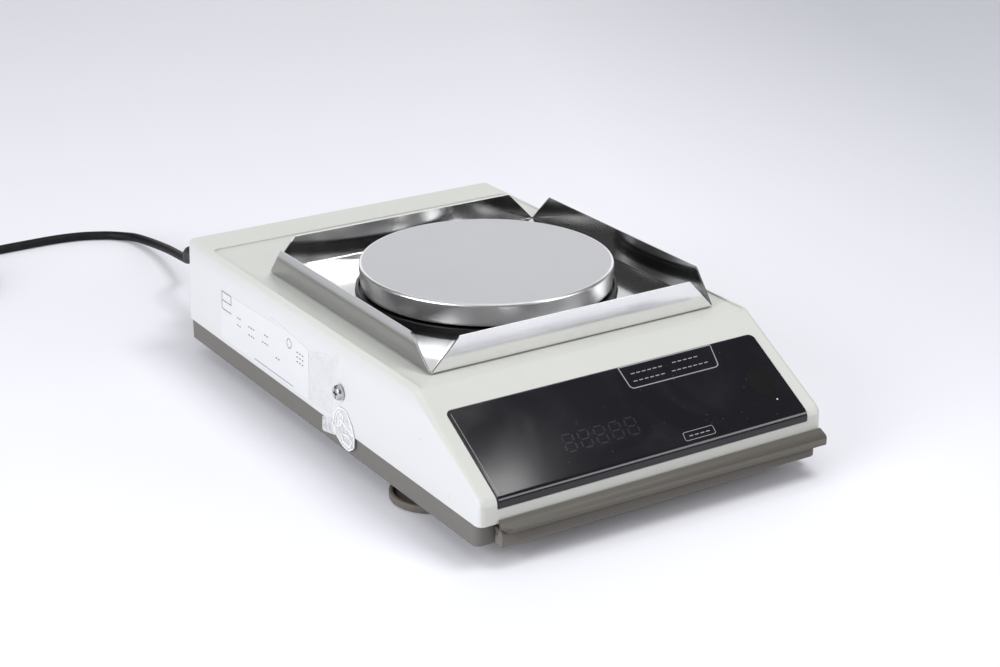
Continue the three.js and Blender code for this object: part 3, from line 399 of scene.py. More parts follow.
def copies(mesh, count, step, place=(0, 0, 0), finish=None, in_ring=False):
    """The form repeated: step is the way from one to the next, or in a ring its turn in radians."""
    kind = "ring_of_copies" if in_ring else "row_of_copies"
    if kind not in TREES:
        TREES[kind] = copies_tree(kind, in_ring)
    tree, sockets = TREES[kind]
    settings = {
        "node_group": tree,
        sockets["Count"]: count,
        sockets["Step"]: tuple(float(part) for part in step),
        sockets["Place"]: tuple(float(part) for part in place),
        sockets["Finish"]: FINISHES.get(finish),
    }
    return evaluated(mesh, "NODES", **settings)


def ring_of(mesh, count, place=(0, 0, 0), finish=None):
    return copies(mesh, count, (0, 0, 2 * math.pi / count), place, finish, in_ring=True)


# Finishes: node materials, with their maths written as expressions


def by_math(operation, swapped=False):
    """A method of a wire that joins it and a value by a Math node."""
    def method(wire, other):
        return wire.math(operation, other, wire) if swapped else wire.math(operation, wire, other)

    return method


class Wire:
    """A socket in a finish. Arithmetic on it adds Math nodes."""

    def __init__(self, finish, socket):
        self.finish = finish
        self.socket = socket

    def math(self, operation, first, second=0.0, clamp=False):
        settings = {"operation": operation, "use_clamp": clamp}
        return self.finish.node("ShaderNodeMath", settings, {0: first, 1: second})

    __add__, __radd__ = by_math("ADD"), by_math("ADD", True)
    __sub__, __rsub__ = by_math("SUBTRACT"), by_math("SUBTRACT", True)
    __mul__, __rmul__ = by_math("MULTIPLY"), by_math("MULTIPLY", True)
    __truediv__, __rtruediv__ = by_math("DIVIDE"), by_math("DIVIDE", True)
    __pow__, __rpow__ = by_math("POWER"), by_math("POWER", True)

    def above(self, edge, width=0.02):
        """From 0 below an edge to 1 above it, with a soft step of this width."""
        return self.math("ADD", (self - edge) / width, 0.5, clamp=True)

    def within(self):
        return self.math("ADD", self, 0.0, clamp=True)

    def size(self):
        return self.math("ABSOLUTE", self)


class Finish:
    """A node material in the making."""

    def __init__(self, name):
        self.material = FINISHES[name] = bpy.data.materials.new(name)
        self.material.use_nodes = True
        self.tree = self.material.node_tree
        self.tree.nodes.clear()
        output = self.tree.nodes.new("ShaderNodeOutputMaterial")
        self.shader = self.tree.nodes.new("ShaderNodeBsdfPrincipled")
        self.tree.links.new(self.shader.outputs[0], output.inputs[0])
        self.places = self.node("ShaderNodeTexCoord", out="Object")

    def node(self, kind, settings=(), sockets=(), out=0):
        """A node of a kind: its settings first, then the values or wires of its sockets."""
        made = self.tree.nodes.new(kind)
        for setting, value in dict(settings).items():
            setattr(made, setting, value)
        for key, value in dict(sockets).items():
            self.feed(made.inputs[key], value)
        return Wire(self, made.outputs[out])

    def feed(self, socket, value):
        if isinstance(value, Wire):
            self.tree.links.new(value.socket, socket)
        else:
            socket.default_value = value

    def set(self, **sockets):
        """Values or wires for the shader's own sockets, such as Base_Color."""
        for key, value in sockets.items():
            self.feed(self.shader.inputs[key.replace("_", " ")], value)

    def stretched(self, x, y, z):
        return self.node("ShaderNodeMapping", {}, {"Vector": self.places, "Scale": (x, y, z)})

    def noise(self, scale, detail=4, roughness=0.55, vector=None, distortion=0.0):
        return self.node("ShaderNodeTexNoise", {}, {
            "Vector": vector or self.places, "Scale": scale, "Detail": detail,
            "Roughness": roughness, "Distortion": distortion,
        })

    def specks(self, scale, size):
        """Small round specks, 1 inside and 0 outside."""
        distance = self.node("ShaderNodeTexVoronoi", {}, {"Vector": self.places, "Scale": scale})
        return 1 - distance.above(size, size / 2)

    def parts(self):
        """The x, y and z of a place on the piece, in metres."""
        x = self.node("ShaderNodeSeparateXYZ", {}, {0: self.places})
        return [Wire(self, output) for output in x.socket.node.outputs]

    def mix(self, factor, first, second):
        """A mix of two colours."""
        sockets = {0: factor, 6: first, 7: second}
        return self.node("ShaderNodeMix", {"data_type": "RGBA"}, sockets, out=2)

    def bump(self, height, strength, distance):
        sockets = {"Height": height, "Strength": strength, "Distance": distance}
        return self.node("ShaderNodeBump", {}, sockets)


def linear(part):
    """A part of a colour as it shows, 0 to 255, as the linear value that a shader takes."""
    part /= 255
    return part / 12.92 if part <= 0.04045 else ((part + 0.055) / 1.055) ** 2.4


def rgb(red, green, blue):
    return (linear(red), linear(green), linear(blue), 1.0)


def plastic(name, colour, aged, roughness, grain, depth, scuffed, lower=None):
    """Moulded plastic: a fine grain, a cloudy change of colour, faint scuffs and dust.

    The grain's depth is in millimetres. lower is a height and the colour below it, painted lighter
    there as painted light on a face that sits in shade."""
    finish = Finish(name)
    cloud = finish.noise(9, 3)
    fine = finish.noise(grain, 2)
    body = finish.mix((cloud - 0.35) * 1.6, colour, aged)
    if lower:
        level, painted_light_below = lower
        # Painted light: below the given height the colour is painted lighter, for a face in shade.
        above = (finish.parts()[2] / MM).above(level, 1.5)
        body = finish.mix(above, painted_light_below, body)
    streak = finish.noise(60, 5, 0.7, finish.stretched(1.0, 0.12, 1.0))
    marks = streak.above(0.67, 0.05) * finish.noise(35, 2).above(0.55, 0.1)
    body = finish.mix(marks * 0.35, body, scuffed)
    dust = finish.specks(240, 0.07) * finish.noise(60, 1).above(0.62, 0.05)
    finish.set(
        Base_Color=finish.mix(dust * 0.4, body, rgb(120, 116, 108)),
        Roughness=(roughness - 0.06) + cloud * 0.1 + fine * 0.06,
        Specular_IOR_Level=0.3,
        Normal=finish.bump(fine, 0.5, depth * MM),
    )


def metal(name, colour, roughness, brush, scale, depth, tint):
    """Metal with a grain along the axis with the smallest brush number, depth in millimetres."""
    spread = 0.12
    finish = Finish(name)
    grain = finish.noise(scale, 6, 0.65, finish.stretched(*brush))
    cloud = finish.noise(22, 3)
    finish.set(
        Base_Color=finish.mix(cloud, colour, tint),
        Metallic=1.0,
        Roughness=(roughness - spread / 2) + grain * spread + (cloud - 0.5) * 0.08,
        Normal=finish.bump(grain, 0.35, depth * MM),
    )


def shell_finish(colours):
    """Pale enamel-like plastic, a little yellowed, with a fine texture and small marks."""
    finish = Finish("shell_cream")
    x, _, z = finish.parts()
    cloud = finish.noise(7, 4, 0.6)
    fine = finish.noise(1700, 2, 0.5)
    waves = finish.noise(260, 2, 0.4)
    body = finish.mix((cloud - 0.3) * 1.4, (*colours.shell, 1), (*colours.shell_aged, 1))
    # Painted light: the leaning sides are painted a lighter, cooler white than the top.
    side = (x.size() / MM).above(TOP_HALF + 0.15, 0.5)
    body = finish.mix(side, body, rgb(211, 212, 213))
    # Darker, yellower patches towards the bottom of the shell.
    low = 1 - (z / MM).above(24, 9)
    low_patches = low * finish.noise(40, 5).above(0.5, 0.4)
    body = finish.mix(low_patches * 0.25, body, rgb(196, 192, 180))
    scratches = finish.noise(30, 6, 0.8, finish.stretched(1, 0.1, 1)).above(0.7, 0.03)
    body = finish.mix(scratches * 0.25, body, rgb(236, 236, 230))
    specks = finish.specks(150, 0.06) * finish.noise(45, 1).above(0.6, 0.05)
    finish.set(
        Base_Color=finish.mix(specks * 0.5, body, rgb(140, 134, 120)),
        Roughness=0.34 + cloud * 0.1 + fine * 0.05,
        Specular_IOR_Level=0.2,
        Normal=finish.bump(fine * 0.6 + waves, 0.35, 0.00003),
    )


def window_finish(colours):
    """Smoked plastic: deep and glossy, with fingerprints, fine dust and hairline scratches."""
    finish = Finish("window_black")
    smear = finish.noise(34, 5, 0.6, distortion=0.8)
    wide = finish.noise(11, 2)
    haze = ((smear - 0.42) * 1.5 * wide.above(0.45, 0.25)).within()
    dust = finish.specks(420, 0.055) * finish.noise(160, 1).above(0.58, 0.04)
    hair = finish.noise(520, 4, 0.8, finish.stretched(0.05, 1, 1)).above(0.74, 0.02)
    body = finish.mix(haze * 0.25, (*colours.window, 1), rgb(58, 56, 64))
    finish.set(
        Base_Color=finish.mix((dust * 0.8 + hair * 0.12).within(), body, rgb(150, 150, 156)),
        Roughness=(0.1 + haze * 0.14 + dust * 0.4).within(),
        Normal=finish.bump(smear, 0.08, 0.00002),
    )


def pan_finish(colours):
    """Stainless steel: fine matt top, polished rim with a turned grain, small scratches."""
    finish = Finish("stainless_pan")
    x, y, z = finish.parts()
    behind = y - PAN_Y * MM
    radius = ((x * x + behind * behind) ** 0.5) / MM
    top = (z / MM).above(PAN_HIGH.z - 0.12, 0.1) * (1 - radius.above(63.4, 0.3))
    fine = finish.noise(2400, 3, 0.6)
    grain = finish.noise(1, 5, 0.7, finish.stretched(30, 30, 5200))
    marks = finish.noise(140, 6, 0.8, finish.stretched(1, 0.14, 1), 0.6).above(0.69, 0.03)
    matt = finish.mix(finish.noise(18, 3), rgb(209, 209, 212), rgb(203, 203, 207))
    bright = finish.mix(grain, (*colours.steel, 1), rgb(226, 226, 229))
    finish.set(
        Base_Color=finish.mix(top, bright, finish.mix(marks * 0.35, matt, rgb(150, 150, 152))),
        Metallic=1.0,
        Roughness=top * (0.42 + fine * 0.08 + marks * 0.1) + (1 - top) * (0.24 + grain * 0.14),
        Normal=finish.bump(top * fine * 0.6 + (1 - top) * grain, 0.3, 0.00001),
    )


def shield_finish(name, colours, base, rough, rise, shade):
    """Rolled stainless sheet, brushed along each wall.

    base is the least roughness, rough what the grain adds to it, rise how far the grain
    stands out, and shade how much darker the left and right walls are painted, as painted shade."""
    finish = Finish(name)
    x, y, _ = finish.parts()
    along_x = finish.noise(1300, 5, 0.7, finish.stretched(0.03, 1, 1))
    along_y = finish.noise(1300, 5, 0.7, finish.stretched(1, 0.03, 1))
    left_right_walls = ((x.size() - (y - PAN_Y * MM).size()) / MM).above(0, 0.2)
    grain = along_y * left_right_walls + along_x * (1 - left_right_walls)
    cloud = finish.noise(24, 4, 0.6)
    streaks = finish.noise(1, 4, 0.6, finish.stretched(40, 40, 700))
    scratch = finish.noise(300, 5, 0.8, finish.stretched(0.2, 1, 1), 1.2).above(0.73, 0.02)
    body = finish.mix(cloud * 0.6 + streaks * 0.4, (*colours.steel, 1), rgb(222, 222, 222))
    # Painted shade: the left and right walls are painted a darker grey than the front and back.
    body = finish.mix(left_right_walls * shade, body, rgb(120, 120, 118))
    finish.set(
        Base_Color=finish.mix(scratch * 0.3, body, rgb(130, 130, 132)),
        Metallic=1.0,
        Roughness=base + grain * rough + (cloud - 0.5) * 0.03,
        Normal=finish.bump(grain, rise, 0.00001),
    )


def sheath_finish(name, colour):
    """Soft plastic of the lead, with a faint moulded grain and dust."""
    finish = Finish(name)
    cloud = finish.noise(30, 3)
    dust = finish.noise(90, 4, 0.7).above(0.6, 0.2)
    body = finish.mix(cloud, colour, rgb(16, 16, 18))
    finish.set(
        Base_Color=finish.mix(dust * 0.12, body, rgb(70, 68, 67)),
        Roughness=0.45 + cloud * 0.14,
        Specular_IOR_Level=0.22,
        Normal=finish.bump(finish.noise(1600, 3), 0.3, 0.00002),
    )


def film_finish(name, clear, creased):
    """Thin clear film, more to be seen where it is creased: real folds with painted glare."""
    finish = Finish(name)
    crease = finish.noise(120, 4, 0.6, distortion=1.0)
    # Painted glare: where creased, the film is drawn less clear.
    finish.set(
        Base_Color=finish.mix(crease, rgb(240, 240, 242), rgb(228, 229, 230)),
        Roughness=0.12 + crease * 0.2,
        Alpha=clear + crease.above(0.5, 0.3) * creased,
        Normal=finish.bump(crease, 0.4, 0.0002),
    )


def board_finish():
    """Green circuit board with a trace pattern under its lacquer."""
    finish = Finish("board_green")
    grid = finish.node("ShaderNodeTexBrick", {}, {
        "Vector": finish.places, "Scale": 90.0, "Mortar Size": 0.03,
        "Color1": rgb(30, 92, 52), "Color2": rgb(24, 78, 44), "Mortar": rgb(52, 120, 66),
    })
    pads = finish.specks(260, 0.12)
    finish.set(
        Base_Color=finish.mix(pads, grid, rgb(196, 196, 188)),
        Roughness=0.3 + finish.noise(60) * 0.2,
        Metallic=pads * 0.8,
        Normal=finish.bump(pads, 0.4, 0.00005),
    )


# Name, colour, aged colour, roughness, grain, its depth in mm, and the colour where scuffed
PLASTICS = (
    ("foot_brown", (106, 99, 93), (92, 86, 80), 0.5, 900, 0.05, (120, 112, 104)),
    ("black_plastic", (24, 24, 26), (32, 32, 34), 0.36, 1300, 0.03, (60, 60, 62)),
    ("tube_glass", (40, 66, 66), (30, 52, 54), 0.12, 600, 0.01, (30, 52, 54)),
    ("rubber_black", (22, 22, 23), (34, 33, 32), 0.7, 700, 0.06, (64, 62, 60)),
    # Painted highlight: the white of the glints along the seal's folds.
    ("seal_crease", (246, 246, 247), (240, 240, 242), 0.3, 900, 0.01, (240, 240, 242)),
    ("label_white", (216, 217, 219), (210, 211, 213), 0.34, 900, 0.01, (200, 200, 199)),
    ("label_ink", (58, 58, 62), (78, 78, 82), 0.4, 900, 0.01, (78, 78, 82)),
    ("window_print", (150, 150, 152), (132, 132, 134), 0.35, 900, 0.01, (132, 132, 134)),
    ("unlit_segment", (31, 30, 36), (26, 25, 31), 0.2, 900, 0.01, (26, 25, 31)),
    ("matt_disc", (7, 7, 9), (5, 5, 7), 0.24, 1500, 0.02, (5, 5, 7)),
)
# Name, colour, roughness, brush, grain, its depth in mm, and the second colour
METALS = (
    ("stainless_screw", (200, 200, 202), 0.22, (1, 1, 1), 700, 0.01, (200, 200, 202)),
    ("steel", (158, 158, 162), 0.36, (0.06, 1, 1), 900, 0.01, (140, 140, 144)),
    ("cast_aluminium", (172, 174, 177), 0.5, (1, 1, 1), 1200, 0.06, (156, 158, 160)),
    ("brass", (190, 154, 74), 0.3, (1, 1, 0.1), 800, 0.01, (168, 132, 60)),
    ("winding_copper", (178, 96, 52), 0.4, (0.02, 0.02, 1), 2600, 0.1, (150, 74, 38)),
    ("core_steel", (92, 94, 100), 0.42, (0.02, 0.02, 1), 1500, 0.08, (74, 74, 80)),
)


def make_finishes(colours):
    """Makes every finish of the balance."""
    shell_finish(colours)
    window_finish(colours)
    pan_finish(colours)
    shield_finish("stainless_brushed", colours, 0.06, 0.1, 0.2, 0.55)
    shield_finish("stainless_bright", colours, 0.04, 0.03, 0.04, 0)
    tray, bar = (*colours.tray, 1), (*colours.bar, 1)
    # Painted light: the bar's skirt below 16.4 mm is lighter than its flange, for the shade it sits
    # in.
    bar_skirt_painted_light = (16.4, rgb(118, 114, 108))
    plastic("tray_grey", tray, rgb(108, 106, 100), 0.5, 1100, 0.05, rgb(132, 130, 125))
    plastic("bar_taupe", bar, rgb(86, 83, 77), 0.46, 1200, 0.04, rgb(118, 114, 107), bar_skirt_painted_light)
    sheath_finish("lead_black", rgb(12, 12, 15))
    sheath_finish("lead_moulding", rgb(22, 22, 24))
    film_finish("clear_film", 0.05, 0.1)
    film_finish("seal_film", 0.3, 0.5)
    board_finish()
    for name, shown, aged, *texture, scuffed in PLASTICS:
        plastic(name, rgb(*shown), rgb(*aged), *texture, rgb(*scuffed))
    for name, shown, *texture, second in METALS:
        metal(name, rgb(*shown), *texture, rgb(*second))


# Sizes and colours that a user may change


def length(name, description, size, low, high):
    """A length property, given in millimetres."""
    return FloatProperty(
        name=name, description=description, default=size * MM, min=low * MM, max=high * MM,
        unit="LENGTH", precision=5,
    )


def colour(name, description, *shown):
    """A colour property, given as it shows, 0 to 255."""
    return FloatVectorProperty(
        name=name, description=description, default=rgb(*shown)[:3], size=3, min=0, max=1,
        subtype="COLOR",
    )


class BALANCE_PG_sizes(bpy.types.PropertyGroup):
    crown_rounding: length(
        "Crown rounding", "Rounding between the top and the sides of the shell", 2.8, 0.5, 6,
    )
    recess_rounding: length(
        "Recess rounding", "Rounding of the corners of the recessed top", 4, 0.5, 12,
    )
    edge_softness: length(
        "Edge softness", "Rounding of the small edges of moulded pieces", 0.35, 0.05, 1,
    )
    sheet_thickness: length("Shield sheet", "Thickness of the draft shield's steel", 0.9, 0.4, 2)
    lead_diameter: length("Lead diameter", "Diameter of the mains lead", 5.4, 4, 9)
    digit_count: IntProperty(
        name="Digits", description="Number of unlit digits behind the window",
        default=5, min=1, max=8,
    )


class BALANCE_PG_colours(bpy.types.PropertyGroup):
    shell: colour("Shell", "Colour of the upper shell", 201, 202, 197)
    shell_aged: colour("Aged shell", "Colour of the shell where it has yellowed", 194, 195, 189)
    tray: colour("Tray", "Colour of the base tray", 110, 108, 104)
    bar: colour("Control bar", "Colour of the control bar", 91, 88, 82)
    window: colour("Window", "Colour of the display window", 18, 17, 23)
    steel: colour("Steel", "Colour of the stainless steel", 246, 246, 246)


# Camera, solved from the photograph: focal length in its pixels, place in mm, angles in degrees

PHOTO_WIDTH = 1000
FOCAL_LENGTH = 2056.13
CAMERA_PLACE = (-521.67, -830.50, 433.47)
HEADING, DIP, ROLL = -32.485, 21.774, 0.042


class BALANCE_OT_camera(bpy.types.Operator):
    """Adds the camera at the photograph's angle"""

    bl_idname = "balance.camera"
    bl_label = "Add camera"

    def execute(self, context):
        data = bpy.data.cameras.new("camera")
        data.sensor_width = 36
        data.sensor_fit = "HORIZONTAL"
        data.lens = data.sensor_width * FOCAL_LENGTH / PHOTO_WIDTH
        data.clip_start = 0.01
        data.clip_end = 100
        camera = linked("camera", data)
        place = Matrix.Translation(Vector(CAMERA_PLACE) * MM)
        for angle, axis in ((HEADING, "Z"), (90 - DIP, "X"), (ROLL, "Z")):
            place = place @ Matrix.Rotation(math.radians(angle), 4, axis)
        camera.matrix_world = place
        context.scene.camera = camera
        context.scene.view_settings.view_transform = "Standard"
        return {"FINISHED"}


# Mains lead

INLET_HIGH = corners("mains_inlet")[1]
INLET_X, _, INLET_Z = middle("mains_inlet")
LEAD_START_Y = corners("lead_connector")[1].y
PLUG_LOW, PLUG_HIGH = corners("lead_plug")
LEAD_RADIUS = 2.7
LEAD_GAP = 0.45
LAYER_RISE = 2 * LEAD_RADIUS + LEAD_GAP
COIL_TURNS = 7.25
COIL_OUTSIDE = 32.6 + COIL_TURNS / 4 * LAYER_RISE
COIL_CENTRE = (INLET_X - 141, LEAD_START_Y + 111.4)
FLOOR_CENTRE = LEAD_RADIUS + 0.02
COIL_STEPS = 24
CONNECTOR_LENGTH, CONNECTOR_NOSE = 30, 14
INLET_HALF = (14, 10)
GRIP_SIDE, GRIP_WIDTH, GRIP_ROWS = 14.6, 1.4, (10, 13.5, 17, 20.5)
PLUG_HALF, PLUG_LENGTH, PLUG_NECK = 17, 38, 20
PIN_GAP, PIN_LENGTH = 9.5, 20

# As in the CAD source: beside the inlet, behind the strain relief, above the bench.
LEAD_ROUTE = [
    (0, 0.6, 34.5), (0, 7.5, 33.6), (0.8, 15, 30.9), (3, 23, 26.6), (6.2, 31, 21.6),
    (9.6, 37.8, 17), (12, 52.2, 14), (14.8, 77.5, 10.2), (15.7, 97.5, 7.3), (15.1, 115.3, 5.1),
    (12.8, 129.3, 3.7), (7.8, 138, 2.95), (2, 144, 2.75), (-4, 147.6, 2.72), (-11, 151, 2.72),
    (-19, 153.4, 2.72), (-26, 154.6, 2.72), (-34, 155.3, 2.72), (-50, 155.4, 2.72),
    (-66, 155.2, 2.72), (-90, 154.8, 2.72), (-115, 154.6, 2.72),
]


def coil_place(turn):
    """Place on the coil after this many turns from where the lead comes in."""
    reversal = COIL_TURNS / 2
    radius = COIL_OUTSIDE - (reversal - abs(turn - reversal)) * LAYER_RISE
    angle = math.pi / 2 + 2 * math.pi * turn
    share = min(1, max(0, (turn - reversal) / 0.5 + 0.5))
    climb = share * share * (3 - 2 * share)
    return Vector((
        COIL_CENTRE[0] + radius * math.cos(angle),
        COIL_CENTRE[1] + radius * math.sin(angle),
        FLOOR_CENTRE + climb * LAYER_RISE,
    ))


def catmull(points, steps):
    """A line through all the points, as a centripetal spline."""
    ends = [2 * points[0] - points[1], *points, 2 * points[-1] - points[-2]]
    line = []
    for index in range(1, len(ends) - 2):
        p0, p1, p2, p3 = ends[index - 1:index + 3]
        t0 = 0.0
        t1 = t0 + max(1e-6, (p1 - p0).length ** 0.5)
        t2 = t1 + max(1e-6, (p2 - p1).length ** 0.5)
        t3 = t2 + max(1e-6, (p3 - p2).length ** 0.5)
        for step in range(steps):
            t = t1 + (t2 - t1) * step / steps
            a1 = p0.lerp(p1, (t - t0) / (t1 - t0))
            a2 = p1.lerp(p2, (t - t1) / (t2 - t1))
            a3 = p2.lerp(p3, (t - t2) / (t3 - t2))
            b1 = a1.lerp(a2, (t - t0) / (t2 - t0))
            b2 = a2.lerp(a3, (t - t1) / (t3 - t1))
            line.append(b1.lerp(b2, (t - t1) / (t2 - t1)))
    line.append(ends[-2])
    return line


def lead_line():
    """The whole centreline of the lead in millimetres, from the relief to the plug."""
    free = [Vector((INLET_X + x, LEAD_START_Y + y, z)) for x, y, z in LEAD_ROUTE]
    entry = coil_place(0)
    straight = entry + Vector((2 * LEAD_RADIUS, 0, 0))
    free = catmull([*free, straight, entry], 6)
    count = round(COIL_TURNS * COIL_STEPS)
    coil = [coil_place(COIL_TURNS * step / count) for step in range(1, count + 1)]
    out = coil[-1] - Vector((0, 2 * LEAD_RADIUS, 0))
    return free + coil + [out]


def inlet_outline(grow, rounding=4):
    half_x, half_z = INLET_HALF
    return centred(INLET_X, INLET_Z, half_x + grow, half_z + grow, rounding, 5)


UPRIGHT_TO_Y = Matrix.Rotation(-math.pi / 2, 4, "X")


def relief(start, length, ribs=7):
    """A strain relief along +Y: a taper with open rings, from a wide foot to the lead."""
    wide, narrow, groove = 5.2, 3.4, 0.75
    outline = [(0, 0), (wide, 0)]
    pitch = length / (ribs + 0.6)
    for rib in range(ribs):
        for share, depth in ((0.12, 0), (0.18, groove), (0.42, groove), (0.48, 0)):
            along = (rib + 0.4 + share) * pitch
            radius = wide + (narrow - wide) * along / length
            outline.append((radius - depth, along))
    outline += [(narrow, length), (0, length)]
    return moved(turned(outline, 32), Matrix.Translation(start) @ UPRIGHT_TO_Y)


class BALANCE_OT_lead(bpy.types.Operator):
    """Adds the mains lead: connector, free stretch, coil and plug"""

    bl_idname = "balance.lead"
    bl_label = "Add mains lead"

    def execute(self, context):
        line = lead_line()
        curve = bpy.data.curves.new("mains_cord", "CURVE")
        curve.dimensions = "3D"
        curve.bevel_depth = context.scene.balance_sizes.lead_diameter / 2
        curve.bevel_resolution = 4
        curve.use_fill_caps = True
        spline = curve.splines.new("POLY")
        spline.points.add(len(line) - 1)
        for point, place in zip(spline.points, line):
            point.co = (*(place * MM), 1)
        spline.use_smooth = True
        curve.materials.append(FINISHES["lead_black"])
        cord = linked("mains_cord", curve)
        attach(cord, "housing")
        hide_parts("mains_lead", "lead_coil")

        face = INLET_HIGH.y + SEAT
        end = face + CONNECTOR_LENGTH
        body = prism(inlet_outline(0.6), face, end, "y")
        nose = prism(inlet_outline(-2.3, 2.5), face - CONNECTOR_NOSE, face + OVERRUN, "y")
        grooves = []
        for x in (INLET_X - GRIP_SIDE, INLET_X + GRIP_SIDE):
            for low in [face + row for row in GRIP_ROWS]:
                groove = centred(x, INLET_Z, 0.5, 6, 0.3, 2)
                grooves.append(prism(groove, low, low + GRIP_WIDTH, "y"))
        body = carved(softened(joined(body, nose), 1.1, 3), gathered(*grooves))
        start = end - OVERRUN
        body = joined(body, relief(Vector((INLET_X, start, INLET_Z)), LEAD_START_Y - start))
        piece("mains_connector", body, "lead_moulding", "lead_connector", soft=(0.15, 1))

        x, y, z = line[-1]
        waist = y - SEAT - PLUG_NECK
        front = waist - PLUG_LENGTH
        half_way = front + PLUG_LENGTH / 2
        plan = rounded([
            (x - PLUG_HALF, front, 5), (x + PLUG_HALF, front, 5), (x + PLUG_HALF, half_way, 5),
            (x + 6, waist, 3), (x - 6, waist, 3), (x - PLUG_HALF, half_way, 5),
        ])
        body = softened(prism(plan, PLUG_LOW.z, PLUG_HIGH.z), 1.6, 3)
        body = joined(body, relief(Vector((x, waist - OVERRUN, z)), PLUG_NECK + OVERRUN, 5))
        piece("mains_plug", body, "lead_moulding", "lead_plug", soft=(0.15, 1))
        pins = []
        for side, lift in ((-1, 0), (0, 5), (1, 0)):
            pin = turned([(0, 0), (1.3, 0), (2, 0.9), (2, PIN_LENGTH), (0, PIN_LENGTH)], 24)
            place = Matrix.Translation((x + side * PIN_GAP, front - PIN_LENGTH + 1, z + lift))
            pins.append(moved(pin, place @ UPRIGHT_TO_Y))
        piece("plug_pins", gathered(*pins), "brass", slot="lead_black")
        return {"FINISHED"}


# Upper shell

SPINDLE_HOLE = 16
SIDE_SCREW_HOLE = 2.3
REAR_OPENING_INSET, REAR_OPENING_TOP = 12.15, 50
APERTURE_INSET, APERTURE_LOW, APERTURE_HIGH = 22, -56, -28


def shell_block(inset, drop, slope, nose, back, bottom, corner, crown=0):
    """A block with the shell's side view: leaning sides, rounded upright corners and crown."""
    front = NOSE_Y + nose
    rear = BACK_Y - back
    top = HOUSING_TOP - drop
    side_view = [
        (rear, bottom), (rear, top), (slope_place_at(top, -slope), top),
        (front, slope_height_at(front, -slope)), (front, bottom),
    ]
    form = bmesh.new()
    sides = []
    for side in (-1, 1):
        sides.append([
            form.verts.new((side * (TOP_HALF - inset + DRAFT * (HOUSING_TOP - z)), y, z))
            for y, z in side_view
        ])
        form.faces.new(sides[-1])
    bridge(form, *sides)
    bmesh.ops.recalc_face_normals(form, faces=form.faces)

    def rounded_off(edges, offset, segments):
        bmesh.ops.bevel(
            form, geom=list(edges), offset=offset, segments=segments, profile=0.5,
            affect="EDGES", clamp_overlap=True,
        )

    ways = [(edge, edge.verts[0].co - edge.verts[1].co) for edge in form.edges]
    upright = [edge for edge, way in ways if abs(way.y) < 0.01 and abs(way.z) > OVERRUN]
    rounded_off(upright, corner, 8)
    if crown:
        form.normal_update()
        upper = [face for face in form.faces if face.normal.z > 0.5]
        rounded_off({edge for face in upper for edge in face.edges}, crown, 6)
    return closed(form)


def window_outline(clearance):
    outer = WINDOW_PROUD + clearance
    inner = WINDOW_PROUD - WINDOW_SHEET - clearance
    band_end = NOSE_TOP - WINDOW_BAND - clearance
    front = NOSE_Y - outer
    back = NOSE_Y - inner
    return rounded([
        (*on_slope(WINDOW_START - clearance, outer), 0),
        (*on_slope(WINDOW_START - clearance, inner), 0),
        (back, slope_height_at(back, inner), 0.4),
        (back, band_end, 0),
        (front, band_end, 0),
        (front, slope_height_at(front, outer), WINDOW_BEND + clearance),
    ])


def window_form(clearance):
    """The bent window, grown by a clearance for its seat in the shell."""
    half = WINDOW_HALF + clearance
    panel = prism(window_outline(clearance), -half, half, "x")
    corner = WINDOW_CORNER + clearance
    face = rectangle(-half, half, -2 * SLOPE_LENGTH, clearance - WINDOW_START, corner, 8)
    gauge = moved(prism(face, -HOUSING_TOP, HOUSING_TOP), SLOPE_PLACE)
    return carved(panel, gauge, operation="INTERSECT")


class BALANCE_OT_shell(bpy.types.Operator):
    """Adds the moulded upper shell"""

    bl_idname = "balance.shell"
    bl_label = "Add upper shell"

    def execute(self, context):
        sizes = context.scene.balance_sizes
        wall = SHELL_WALL
        outer = shell_block(0, 0, 0, 0, 0, SHELL_EDGE, CORNER, sizes.crown_rounding / MM)
        inner = shell_block(wall, wall, SLOPE_WALL, NOSE_WALL, wall, 0, CORNER - wall)
        half = TOP_HALF - TOP_LIP
        front, back = NOSE_Y - CORNER, BACK_Y - REAR_BAND
        recess = prism(
            rectangle(-half, half, front, back, sizes.recess_rounding / MM),
            HOUSING_TOP - PANEL_DROP, 2 * HOUSING_TOP,
        )
        low, high = HOUSING_TOP - wall - OVERRUN, HOUSING_TOP + OVERRUN
        spindle = rod(0, PAN_Y, SPINDLE_HOLE, low, high, sides=64)
        half = TOP_HALF - REAR_OPENING_INSET
        rear = block(-half, half, BACK_Y - wall - OVERRUN, BACK_Y + OVERRUN, 0, REAR_OPENING_TOP)
        half = WINDOW_HALF - APERTURE_INSET
        aperture = block(-half, half, APERTURE_LOW, APERTURE_HIGH, -SLOPE_WALL - OVERRUN, OVERRUN)
        aperture = moved(aperture, SLOPE_PLACE)
        screws = rod(SCREW_Y, SCREW_Z, SIDE_SCREW_HOLE, -2 * TOP_HALF, 2 * TOP_HALF, "x", 24)
        shell = carved(outer, inner, recess, spindle, rear, screws, window_form(SEAT), aperture)
        softness = (sizes.edge_softness / MM, 2, 40)
        piece("housing_shell", shell, "shell_cream", "upper_shell", soft=softness)
        return {"FINISHED"}


# Display window, what is printed on it and a painted edge highlight

PRINT_LOW = WINDOW_PROUD - 0.02
PRINT_HIGH = WINDOW_PROUD + 0.05
SEGMENT_HIGH = WINDOW_PROUD + 0.02
